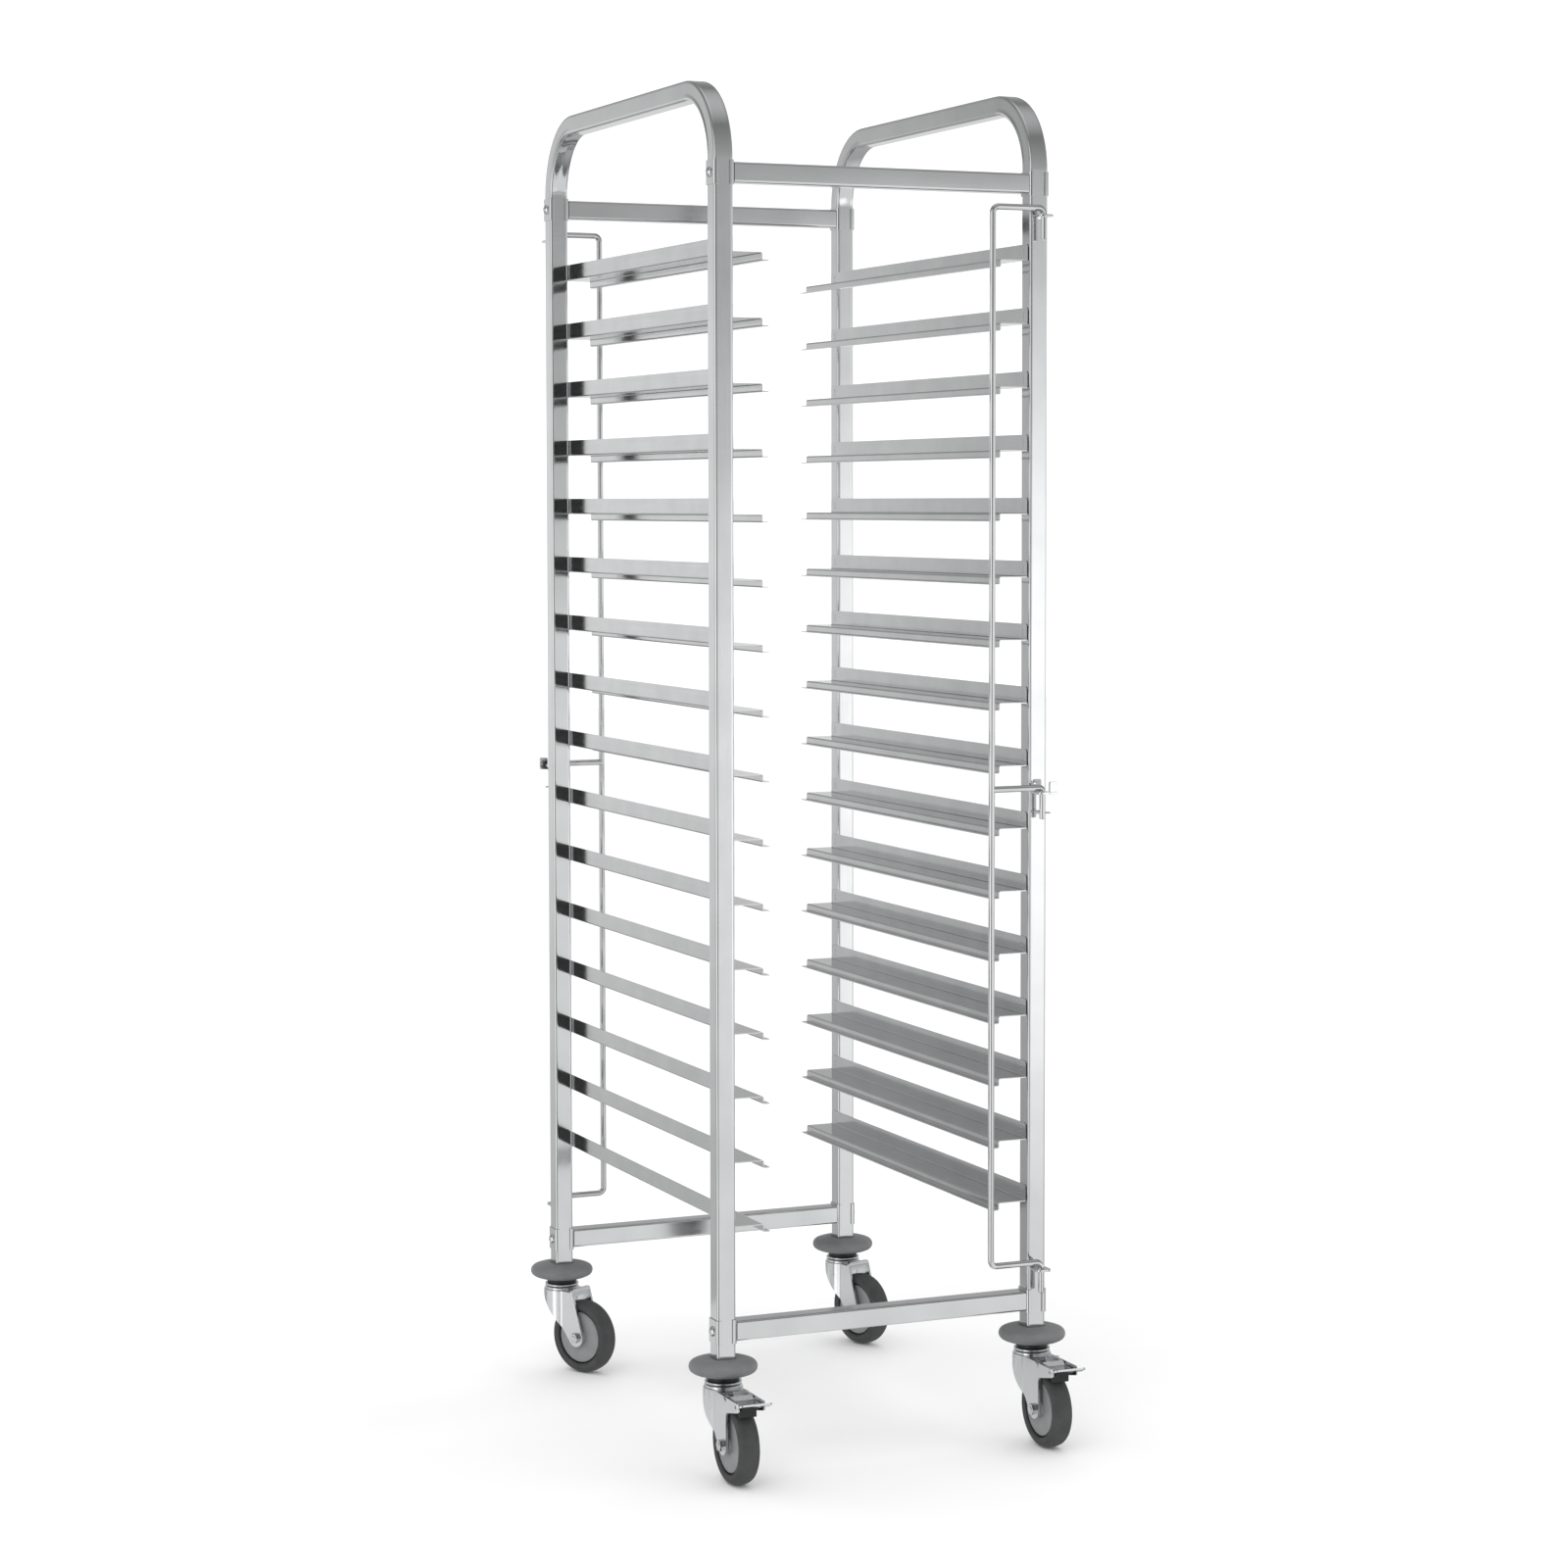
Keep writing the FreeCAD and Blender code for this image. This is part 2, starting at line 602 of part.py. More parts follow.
def runner():
    """A right-hand runner folded from sheet, its flange's upper edge at Z = 0."""
    body = new_body("runner")
    profile = new_sketch(body, "XZ_Plane")
    wall = s.runner_wall
    drop_x = post_inner_x - s.shelf_width
    lip_x = drop_x - s.lip_width
    shelf_z = -s.flange_height
    lip_z = shelf_z - s.drop_height
    outline(profile, [
        (post_inner_x, 0), (post_inner_x, shelf_z), (drop_x + wall, shelf_z), (drop_x + wall, lip_z),
        (lip_x, lip_z), (lip_x, lip_z + wall), (drop_x, lip_z + wall), (drop_x, shelf_z + wall),
        (post_inner_x - wall, shelf_z + wall), (post_inner_x - wall, 0),
    ])
    end_y = s.frame_depth / 2 - s.runner_inset
    pad(body, profile, end_y * 2)
    inner = [(post_inner_x - wall, shelf_z + wall), (drop_x + wall, shelf_z), (drop_x, lip_z + wall)]
    outer = [(post_inner_x, shelf_z), (drop_x, shelf_z + wall), (drop_x + wall, lip_z)]
    for radius, folds in ((s.fold_radius, inner), (s.fold_radius + wall, outer)):
        fillet(body, radius, lambda edge: any(lies_at(edge, x=x, z=z) for x, z in folds))
    fillet(body, s.flange_corner, lambda edge: any(lies_at(edge, y=end_y * i, z=0) for i in (-1, 1)))
    welds = new_sketch(body, "YZ_Plane", (0, 0, post_inner_x - wall))
    weld_y = s.frame_depth / 2 - s.weld_setback
    for end in (-1, 1):
        for place in (0, 1):
            circle(welds, weld_y * end, -s.weld_drop - s.weld_pitch * place, s.weld_diameter)
    pad(body, welds, s.weld_height, symmetric=False, reverse=True)
    return body


def runner_levels(pattern):
    """Pairs of runners from the highest level down, as many as the lower rails leave room for."""
    lowest = bottom_rail_z + half_tube + s.flange_height + s.drop_height + s.lowest_room
    levels = int((first_level_z.value - lowest.value) // s.level_pitch.value) + 1
    for level in range(levels):
        z = first_level_z - s.level_pitch * level
        label = f"runner_pair_{level + 1:02d}"
        right = copy_of(pattern, f"{label}_right", z=z)
        left = copy_of(pattern, f"{label}_left", z=z, turn=180)
        group(label, [left, right])


def lock_bar():
    """A gate of bent rod about a pin axis at X = Y = 0, its upright towards -X."""
    body = new_body("lock_bar")
    runs = (lock_top_z, lock_middle_z, lock_bottom_z)
    top_z, middle_z, bottom_z = runs
    upright_x = -s.lock_reach
    gate = [
        (0, top_z - s.pin_length), (0, top_z), (upright_x, top_z),
        (upright_x, bottom_z), (0, bottom_z), (0, bottom_z - s.pin_length),
    ]
    arm = [(0, middle_z - s.pin_length), (0, middle_z), (upright_x, middle_z)]
    for corners, bend in ((gate, s.rod_bend), (arm, s.arm_bend)):
        path = new_sketch(body, "XZ_Plane")
        bent_line(path, corners, bend)
        section = new_sketch(body, "XY_Plane", (0, 0, corners[0][1]))
        circle(section, 0, 0, s.rod_diameter)
        sweep(body, "Additive", section, path)
    hole = new_sketch(body, "YZ_Plane")
    circle(hole, 0, middle_z - s.cotter_drop, s.cotter_diameter + s.cotter_clearance * 2)
    pocket(body, hole, s.rod_diameter * 2)
    return body


def lock_clip():
    """A cotter through the middle pin, with its eye on the side away from the gate."""
    body = new_body("lock_clip")
    clip_z = lock_middle_z - s.cotter_drop
    eye_x = s.rod_diameter / 2 + s.cotter_diameter / 2 + s.cotter_eye
    shank_end = eye_x - s.cotter_eye
    shank = new_sketch(body, "YZ_Plane", (0, 0, -s.cotter_tail))
    circle(shank, 0, clip_z, s.cotter_diameter)
    pad(body, shank, shank_end + s.cotter_tail, symmetric=False)
    eye = new_sketch(body, "XY_Plane", (eye_x, 0, clip_z))
    circle(eye, s.cotter_eye, 0, s.cotter_diameter * 0.75)
    revolve(body, eye, "V_Axis")
    return body


def lock_lug(name, run_z, bend):
    """A lug in front of a post's face, bored for a pin at X = Y = 0, under the pin's bend."""
    body = new_body(name)
    front_y = s.lock_standoff - s.lug_reach
    plan = new_sketch(body, "XY_Plane", (0, 0, run_z - bend - s.lug_gap))
    outline(plan, rectangle(s.lug_width, s.lug_reach, 0, (s.lock_standoff + front_y) / 2))
    pad(body, plan, s.lug_wall, symmetric=False, reverse=True)
    hole = new_sketch(body, "XY_Plane", (0, 0, run_z - bend - s.lug_gap))
    circle(hole, 0, 0, s.rod_diameter + s.pin_clearance * 2)
    pocket(body, hole, s.lug_wall * 2)
    sides = [s.lug_width * (i / 2) for i in (-1, 1)]
    fillet(body, s.lug_corner, lambda edge: any(lies_at(edge, x=x, y=front_y) for x in sides))
    return body


def stopped_lug(name, run_z, bend):
    """A lug with two upturned edges: one that the arm rests against and one that it opens to."""
    body = lock_lug(name, run_z, bend)
    wall, top_z = s.lug_wall, run_z - bend - s.lug_gap
    stop_x, front_y = s.stop_reach - s.stop_width / 2, s.lock_standoff - s.lug_reach
    base = new_sketch(body, "XY_Plane", (0, 0, top_z))
    outline(base, rectangle(s.stop_width, wall * 2, stop_x, front_y + wall))
    pad(body, base, wall, symmetric=False, reverse=True)
    rest = s.lock_standoff - s.rod_diameter / 2 - s.rest_gap
    edges = new_sketch(body, "XY_Plane", (0, 0, top_z))
    outline(edges, rectangle(s.stop_width, wall, stop_x, front_y + wall / 2))
    outline(edges, rectangle(wall, rest, wall / 2 - s.lug_width / 2, s.lock_standoff - rest / 2))
    pad(body, edges, s.stop_height, symmetric=False)
    crest_z = top_z + s.stop_height
    corners = [
        {"x": s.stop_reach, "z": crest_z}, {"x": s.stop_reach - s.stop_width, "z": crest_z},
        {"y": s.lock_standoff - rest, "z": crest_z},
    ]
    fillet(body, s.stop_corner, lambda edge: any(lies_at(edge, **corner) for corner in corners))
    return body


def bumper_disc():
    """A lens-shaped disc round a post's foot, with a square socket over a bore for the stem."""
    body = new_body("bumper_disc")
    half = new_sketch(body, "XZ_Plane", (0, bumper_z, 0))
    rim, bore = s.bumper_diameter / 2, s.stem_diameter / 2 + s.stem_clearance
    base, crown = s.bumper_base_diameter / 2, s.bumper_crown_diameter / 2
    top, middle = s.bumper_thickness, s.bumper_thickness / 2
    first, last = chain(half, [(crown, top), (bore, top), (bore, 0), (base, 0)])
    rim_r = s.bumper_rim_radius
    eye = vector(rim - rim_r, middle)
    spare = middle.value - rim_r.value
    meets = []
    for edge, height, up, line, line_end in ((base, 0, -1, last, 2), (crown, top, 1, first, 1)):
        reach = eye.x - edge.value
        sink = (reach ** 2 - spare ** 2) / (2 * spare)
        centre = vector(edge, middle.value - sink * up)
        start = vector(edge, height)
        end = eye + (eye - centre).normalize() * rim_r.value
        spread = ((start + end) * 0.5 - centre).normalize() * (sink + middle.value)
        arc, at_start, at_end = arc_through(half, start, centre + spread, end)
        join(half, arc, at_start, line, line_end)
        row = half.addConstraint(Sketcher.Constraint("DistanceX", -1, 1, arc, 3, edge.value))
        bind(half, f"Constraints[{row}]", edge)
        meets.append((end, arc, at_end))
    (low, low_arc, low_end), (high, high_arc, high_end) = meets
    edge, at_low, at_high = arc_through(half, low, vector(rim, middle), high)
    pin(half, edge, 3, rim - rim_r, middle)
    hold_radius(half, edge, rim_r)
    half.addConstraint(Sketcher.Constraint("Tangent", edge, at_low, low_arc, low_end))
    half.addConstraint(Sketcher.Constraint("Tangent", edge, at_high, high_arc, high_end))
    revolve(body, half, "V_Axis")
    socket = new_sketch(body, "XY_Plane", (0, 0, post_foot_z))
    side = s.tube_size + s.socket_clearance * 2
    outline(socket, rectangle(side, side))
    pocket(body, socket, s.bumper_thickness, symmetric=False, reverse=True)
    return body


def stem_sleeve():
    """The square sleeve that grips the stem inside a post."""
    body = new_body("stem_sleeve")
    side = s.tube_size - s.tube_wall * 2 - s.sleeve_clearance * 2
    plan = new_sketch(body, "XY_Plane", (0, 0, post_foot_z))
    outline(plan, rectangle(side, side))
    circle(plan, 0, 0, s.stem_diameter + s.stem_clearance * 2)
    pad(body, plan, s.sleeve_length, symmetric=False)
    return body


def swivel_stem():
    """The caster's fixed head in one turning: riveted king pin, upper race and stem."""
    body = new_body("swivel_stem")
    half = new_sketch(body, "XZ_Plane")
    king, head = s.king_pin_diameter / 2, s.king_head_diameter / 2
    race, stem = s.upper_race_diameter / 2, s.stem_diameter / 2
    head_z = fork_roof_z - s.race_gap
    top_z = post_foot_z + s.sleeve_length + s.stem_end
    outline(half, [
        (0, head_z - s.king_head_height), (head, head_z - s.king_head_height), (head, head_z),
        (king, head_z), (king, upper_race_z), (race, upper_race_z), (race, stem_shoulder_z),
        (stem, stem_shoulder_z), (stem, top_z), (0, top_z),
    ])
    revolve(body, half, "V_Axis")
    rims = (upper_race_z, stem_shoulder_z)
    fillet(body, s.race_round, lambda edge: any(is_ring(edge, s.upper_race_diameter, z) for z in rims))
    return body


def dust_seal():
    """A ring between the upper race and the bumper."""
    body = new_body("dust_seal")
    plan = new_sketch(body, "XY_Plane", (0, 0, stem_shoulder_z))
    circle(plan, 0, 0, s.seal_diameter)
    circle(plan, 0, 0, s.stem_diameter + s.stem_clearance * 2)
    pad(body, plan, s.seal_height, symmetric=False)
    return body


def fork_blank(name, reach):
    """A round cup about the swivel axis that flows into two flat sides, before the fork is cut from it."""
    body = new_body(name)
    low_z = axle_z - s.leg_end_radius * 0.6
    height = fork_top_z - low_z
    cup = new_sketch(body, "XY_Plane", (0, 0, low_z))
    circle(cup, 0, 0, s.cup_diameter)
    pad(body, cup, height, symmetric=False)
    sides = new_sketch(body, "XY_Plane", (0, 0, low_z))
    outline(sides, rectangle(fork_width, reach, 0, -reach / 2))
    pad(body, sides, height, symmetric=False)
    side_x = fork_width.value / 2
    crease_y = -math.sqrt((s.cup_diameter.value / 2) ** 2 - side_x ** 2)
    fillet(body, s.cup_blend, lambda edge: any(lies_at(edge, x=side_x * i, y=crease_y) for i in (-1, 1)))
    fillet(body, s.fork_edge, lambda edge: is_ring(edge, s.cup_diameter, fork_top_z))
    return body


def fork(name, braked):
    """A pressed fork: its back edge falls from the cup's rim to the axle, and its roof carries a race."""
    reach = s.arm_reach if braked else s.caster_trail + s.leg_end_radius
    body = fork_blank(name, reach)
    axle_y, end = -s.caster_trail, s.leg_end_radius
    toe, outside = axle_y - end, s.cup_diameter
    heel_y, toe_y, end_z = axle_y + end * 0.8, axle_y - end * 0.8, axle_z - end * 0.6
    rim_z = fork_top_z - s.cup_rim
    back = [
        (heel_y, end_z), (-s.knee_forward, axle_z + s.knee_rise), (s.cup_rim_back, rim_z),
        (outside, rim_z), (outside, end_z - end), (heel_y, end_z - end),
    ]
    beyond = -reach - end
    if braked:
        arm_z, root_z = fork_top_z - s.arm_depth, fork_top_z - s.arm_root
        front = [(beyond, arm_z), (-reach, arm_z), (toe, root_z), (toe, axle_z), (toe_y, end_z)]
    else:
        front = [
            (beyond, fork_top_z + end), (-s.fork_front, fork_top_z + end), (-s.fork_front, fork_top_z),
            (axle_y - end * 0.95, axle_z + end * 0.3), (toe_y, end_z),
        ]
    for edge in (back, front + [(toe_y, end_z - end), (beyond, end_z - end)]):
        cut = new_sketch(body, "YZ_Plane")
        outline(cut, edge)
        pocket(body, cut, outside * 2)
    ends = new_sketch(body, "YZ_Plane")
    circle(ends, axle_y, axle_z, end * 2)
    pad(body, ends, fork_width)
    if braked:
        corners = ((-reach, arm_z), (-reach, fork_top_z))
        fillet(body, s.arm_corner, lambda edge: any(lies_at(edge, y=y, z=z) for y, z in corners))
        fillet(body, s.arm_root_radius, lambda edge: lies_at(edge, y=toe, z=root_z))
    hollow = new_sketch(body, "XY_Plane", (0, 0, fork_roof_z))
    circle(hollow, 0, 0, s.cup_diameter - s.fork_wall * 2)
    pocket(body, hollow, fork_roof_z, symmetric=False)
    channel = new_sketch(body, "XY_Plane", (0, 0, fork_roof_z))
    outline(channel, rectangle(s.fork_gap, s.arm_reach + end, 0, (s.arm_reach + end) / -2))
    pocket(body, channel, fork_roof_z, symmetric=False)
    if braked:
        slot = new_sketch(body, "XY_Plane", (0, 0, fork_roof_z))
        length = s.arm_reach - s.fork_front + s.arm_corner
        outline(slot, rectangle(s.fork_gap, length, 0, -s.fork_front - length / 2))
        pocket(body, slot, s.fork_wall, symmetric=False, reverse=True)
    else:
        apron = new_sketch(body, "XZ_Plane", (0, 0, s.fork_front))
        height = s.apron_rise + s.fork_wall + s.apron_drop
        outline(apron, rectangle(fork_width, height, 0, fork_top_z + s.apron_rise - height / 2))
        pad(body, apron, s.apron_wall, symmetric=False, reverse=True)
        top, half = fork_top_z + s.apron_rise, fork_width / 2
        fillet(body, s.apron_corner, lambda edge: any(lies_at(edge, x=half * i, z=top) for i in (-1, 1)))
    race = new_sketch(body, "XY_Plane", (0, 0, fork_roof_z))
    circle(race, 0, 0, s.race_diameter)
    pad(body, race, s.fork_wall + s.race_height, symmetric=False)
    fillet(body, s.race_round, lambda edge: is_ring(edge, s.race_diameter, lower_race_z))
    holes = new_sketch(body, "YZ_Plane")
    circle(holes, axle_y, axle_z, s.axle_diameter + s.axle_clearance * 2)
    if braked:
        pin_bore = s.brake_pin_diameter + s.brake_pin_clearance * 2
        circle(holes, -s.brake_pin_forward, brake_pin_z, pin_bore)
        circle(holes, s.arm_hole_setback - reach, fork_top_z - s.arm_depth / 2, s.arm_hole_diameter)
    pocket(body, holes, fork_width * 2)
    bore = new_sketch(body, "XY_Plane", (0, 0, fork_roof_z))
    circle(bore, 0, 0, s.king_pin_diameter + s.king_pin_clearance * 2)
    pocket(body, bore, s.fork_wall + s.race_height, symmetric=False, reverse=True)
    return body


def hexagon(across):
    """Corners of a hexagon, from its width across the flats."""
    reach = 1 / math.sqrt(3)
    return [(across * (reach * math.cos(a)), across * (reach * math.sin(a)))
            for a in (math.radians(60 * step) for step in range(6))]


def axle():
    """The wheel's bolt along X, with its head and nut against the legs."""
    body = new_body("axle")
    shank = new_sketch(body, "YZ_Plane")
    circle(shank, 0, 0, s.axle_diameter)
    pad(body, shank, fork_width + s.axle_head_height)
    for side in (-1, 1):
        head = new_sketch(body, "YZ_Plane", (0, 0, fork_width * (side / 2)))
        outline(head, hexagon(s.axle_head_across))
        pad(body, head, s.axle_head_height, symmetric=False, reverse=side < 0)
    return body


def wheel_bush():
    """The sleeve on the axle that the legs clamp and the hub turns on."""
    body = new_body("wheel_bush")
    section = new_sketch(body, "YZ_Plane")
    circle(section, 0, 0, s.bush_diameter)
    circle(section, 0, 0, s.axle_diameter + s.axle_clearance * 2)
    pad(body, section, s.fork_gap)
    return body


def mirrored_profile(half):
    """A wheel's section from its half at X > 0, given from the bore outwards."""
    return half + [(-x, r) for x, r in reversed(half)]


def wheel_hub():
    """The hub: a boss on the bush, flat faces, and a deep groove between them and the tyre."""
    body = new_body("wheel_hub")
    section = new_sketch(body, "XY_Plane")
    bore = s.bush_diameter / 2 + s.hub_clearance
    boss_x, boss_r = s.hub_boss_width / 2, s.hub_boss_diameter / 2
    face_x, face_r = s.hub_web_width / 2, s.hub_face_diameter / 2
    bead, floor_x = s.tyre_seat_width / 2 - face_x, face_x - s.hub_groove_depth
    outline(section, mirrored_profile([
        (boss_x, bore), (boss_x, boss_r - bead), (face_x, boss_r), (face_x, face_r - bead),
        (face_x - bead, face_r), (floor_x, face_r), (floor_x, s.hub_diameter / 2),
    ]))
    revolve(body, section, "H_Axis")
    return body


def tyre():
    """The tyre on the hub's rim: straight walls, round shoulders and a crowned tread."""
    body = new_body("tyre")
    section = new_sketch(body, "XY_Plane")
    seat_x, wall_x, tread_x = s.tyre_seat_width / 2, s.tyre_width / 2, s.tread_width / 2
    seat_r = s.hub_diameter / 2 + s.bond_gap
    outer_r = s.wheel_diameter / 2
    shoulder_r = outer_r - s.tread_crown
    depth = shoulder_r - seat_r
    wall_r = seat_r + depth * 0.6
    half = [(seat_x, seat_r), (wall_x, seat_r + depth * 0.25), (wall_x, wall_r), (tread_x, shoulder_r)]
    points = mirrored_profile(half)
    first, last = chain(section, points[len(half):] + points[:len(half)])
    right, left = vector(tread_x, shoulder_r), vector(-tread_x, shoulder_r)
    arc, at_right, at_left = arc_through(section, right, vector(0, outer_r), left)
    join(section, arc, at_right, last, 2)
    join(section, arc, at_left, first, 1)
    hold_radius(section, arc, crown_radius(tread_x, s.tread_crown))
    revolve(body, section, "H_Axis")
    fillet(body, s.tyre_shoulder, lambda edge: is_ring(edge, wall_r * 2) or is_ring(edge, shoulder_r * 2))
    return body


def brake_pedal():
    """A pressed pedal between the brake arms: ears on its pin, a step, a release tab and a wide foot."""
    body = new_body("brake_pedal")
    wall, pin_y = s.pedal_wall, -s.brake_pin_forward
    ear = s.pedal_ear_radius
    top_z, foot_y = pedal_z + wall, -s.arm_reach - s.foot_gap
    side = new_sketch(body, "YZ_Plane")
    step_y, low_y, foot_top = pin_y - ear * 1.6, pin_y - ear * 2.8, pedal_foot_z + wall
    outline(side, [
        (pin_y + ear, brake_pin_z), (pin_y + ear, top_z), (step_y, top_z), (low_y, foot_top),
        (foot_y, foot_top), (foot_y, pedal_foot_z), (low_y, pedal_foot_z), (step_y, pedal_z),
        (pin_y - ear, brake_pin_z),
    ])
    pad(body, side, s.pedal_width)
    ears = new_sketch(body, "YZ_Plane")
    circle(ears, pin_y, brake_pin_z, ear * 2)
    pad(body, ears, s.pedal_width)
    inside = new_sketch(body, "YZ_Plane")
    depth = s.pedal_rise + ear
    outline(inside, rectangle(ear * 3.2, depth, pin_y, pedal_z - depth / 2))
    pocket(body, inside, s.pedal_width - wall * 2)
    foot = new_sketch(body, "YZ_Plane")
    end_y, end_z = -s.pedal_reach, pedal_foot_z + s.pedal_lip
    outline(foot, [(foot_y, pedal_foot_z), (foot_y, foot_top), (end_y, end_z + wall), (end_y, end_z)])
    pad(body, foot, s.foot_width)
    tips = [s.foot_width * (i / 2) for i in (-1, 1)]
    fillet(body, s.foot_corner, lambda edge: any(lies_at(edge, x=x, y=end_y) for x in tips))
    tab = new_sketch(body, "YZ_Plane")
    outline(tab, rectangle(wall, s.release_height, pin_y - s.release_forward, top_z + s.release_height / 2))
    pad(body, tab, s.release_width)
    hole = new_sketch(body, "YZ_Plane")
    circle(hole, pin_y, brake_pin_z, s.brake_pin_diameter + s.brake_pin_clearance * 2)
    pocket(body, hole, s.pedal_width * 2)
    return body


def brake_shoe():
    """The shoe under a pedal, with a heel cut to the curve of the tyre."""
    body = new_body("brake_shoe")
    pin_y = -s.brake_pin_forward
    back, front, heel = pin_y - s.shoe_back, pin_y - s.shoe_front, pin_y - s.shoe_heel
    top_z = pedal_foot_z
    toe_z, heel_z = top_z - s.shoe_toe_height, top_z - s.shoe_heel_height
    side = new_sketch(body, "YZ_Plane")
    outline(side, [
        (back, top_z), (front, top_z), (front, toe_z), (heel, toe_z), (heel, heel_z), (back, heel_z),
    ])
    pad(body, side, s.shoe_width)
    curve = new_sketch(body, "YZ_Plane")
    circle(curve, -s.caster_trail, axle_z, s.wheel_diameter + s.brake_gap * 2)
    pocket(body, curve, s.shoe_width * 2)
    return body


def brake_pin():
    """The pedal's pin through both brake arms, headed at both ends."""
    body = new_body("brake_pin")
    shank = new_sketch(body, "YZ_Plane")
    circle(shank, 0, 0, s.brake_pin_diameter)
    pad(body, shank, fork_width)
    for side in (-1, 1):
        head = new_sketch(body, "YZ_Plane", (0, 0, fork_width * (side / 2)))
        circle(head, 0, 0, s.pin_head_diameter)
        pad(body, head, s.pin_head_height, symmetric=False, reverse=side < 0)
    return body


def build_frame():
    tube = side_frame()
    for label, side in (("left_side_frame", -1), ("right_side_frame", 1)):
        node(copy_of(tube, label, post_x * side), label)
    cross = rail()
    for end, y in (("front", -post_y), ("rear", post_y)):
        for height, z in (("top", top_rail_z), ("bottom", bottom_rail_z)):
            label = f"{end}_{height}_rail"
            node(copy_of(cross, label, 0, y, z), label)
    at_rail_ends(clamp_plate(), "rail_clamp_plates")
    at_rail_ends(rail_bolt(), "rail_bolts")
    runner_levels(runner())


def build_lock_bars():
    bar, clip = lock_bar(), lock_clip()
    lugs = [
        lock_lug("top_lug", lock_top_z, s.rod_bend),
        stopped_lug("middle_lug", lock_middle_z, s.arm_bend),
        lock_lug("bottom_lug", lock_bottom_z, s.rod_bend),
    ]
    welded = []
    for end, sign, turn in (("front", 1, 0), ("rear", -1, 180)):
        x, y = post_x * sign, -lock_y * sign
        for pattern, name in ((bar, "lock_bar"), (clip, "lock_clip")):
            label = f"{end}_{name}"
            node(copy_of(pattern, label, x, y, 0, turn), label)
        welded += [copy_of(lug, f"{end}_{lug.Name}", x, y, 0, turn) for lug in lugs]
    group("lock_bar_lugs", welded)


def build_casters():
    at_corners(bumper_disc(), "bumper_discs")
    at_corners(stem_sleeve(), "stem_sleeves")
    at_corners(swivel_stem(), "swivel_stems")
    at_corners(dust_seal(), "dust_seals")
    forks = {-1: fork("braked_fork", True), 1: fork("plain_fork", False)}
    on_axle = (("axle", axle()), ("bush", wheel_bush()), ("hub", wheel_hub()), ("tyre", tyre()))
    pedal, shoe, pivot = brake_pedal(), brake_shoe(), brake_pin()
    for corner, side, end in CORNERS:
        x, y = post_x * side, post_y * end
        turn = turns.get(corner, straight)
        node(copy_of(forks[end], f"{corner}_fork", x, y, 0, turn), f"{corner}_fork")
        across, back = along(s.caster_trail, turn)
        for name, pattern in on_axle:
            label = f"{corner}_{name}"
            node(copy_of(pattern, label, x + across, y + back, axle_z, turn), label)
        if end < 0:
            for name, pattern in (("brake_pedal", pedal), ("brake_shoe", shoe)):
                label = f"{corner}_{name}"
                node(copy_of(pattern, label, x, y), label)
            label = f"{corner}_brake_pin"
            node(copy_of(pivot, label, x, y - s.brake_pin_forward, brake_pin_z), label)


def check_and_write():
    """Every object is sound and every piece a valid solid before any file is written."""
    doc.recompute()
    for item in doc.Objects:
        if "Invalid" in item.State or "Error" in item.State:
            raise RuntimeError(f"{item.Label} failed: {item.State}")
    for item in nodes:
        if item.Shape.isNull() or not item.Shape.isValid() or not item.Shape.Solids:
            raise RuntimeError(f"{item.Label} is not a valid solid")
    os.makedirs("parts", exist_ok=True)
    for item in nodes:
        item.Shape.exportStep(f"parts/{item.Label}.step")
    print(len(nodes), "sub-parts,", sum(len(item.Shape.Solids) for item in nodes), "solids")


build_frame()
build_lock_bars()
build_casters()
check_and_write()
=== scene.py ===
"""Looks of the tray trolley: polished tube, folded runners, lock bars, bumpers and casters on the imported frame."""
import math

import bmesh
import bpy
import numpy as np
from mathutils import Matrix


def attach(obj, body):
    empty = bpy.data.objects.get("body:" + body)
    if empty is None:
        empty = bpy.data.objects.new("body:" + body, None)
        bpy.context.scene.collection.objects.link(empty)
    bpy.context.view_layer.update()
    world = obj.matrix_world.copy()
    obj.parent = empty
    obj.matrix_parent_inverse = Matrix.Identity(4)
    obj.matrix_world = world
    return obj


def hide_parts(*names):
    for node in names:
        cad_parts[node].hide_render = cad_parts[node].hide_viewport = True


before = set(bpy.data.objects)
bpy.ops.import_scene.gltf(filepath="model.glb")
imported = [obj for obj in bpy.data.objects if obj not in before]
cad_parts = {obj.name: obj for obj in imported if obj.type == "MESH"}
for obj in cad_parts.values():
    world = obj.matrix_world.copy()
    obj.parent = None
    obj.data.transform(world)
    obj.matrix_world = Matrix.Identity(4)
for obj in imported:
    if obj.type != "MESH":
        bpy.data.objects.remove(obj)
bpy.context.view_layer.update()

MM = 0.001
MERGE = 1e-6        # points nearer than this, in metres, are one
FLAT_ANGLE = 0.5    # faces that meet at less than this, in degrees, are one

# Sizes in millimetres, in the trolley's own frame: X across, +Y to the back, Z up from the floor.
# Side frames: square tube bent over the handle, with the marks that bending leaves in its walls.
TUBE, TUBE_WALL, TUBE_CORNER, TUBE_BEND = 25.0, 1.2, 3.0, 90.0
POST_X, FRONT_Y, REAR_Y, MIDDLE_Y = 215.0, -265.0, 330.0, 32.5
POST_FOOT, HANDLE_TOP = 135.0, 1727.0
BEND_SWELL, SWELL_PLACE, SWELL_SPREAD, BEND_SINK, ON_WALL = 0.6, -8.0, 2.2, 0.9, 0.01
INNER_X, OUTER_X = POST_X - TUBE / 2, POST_X + TUBE / 2

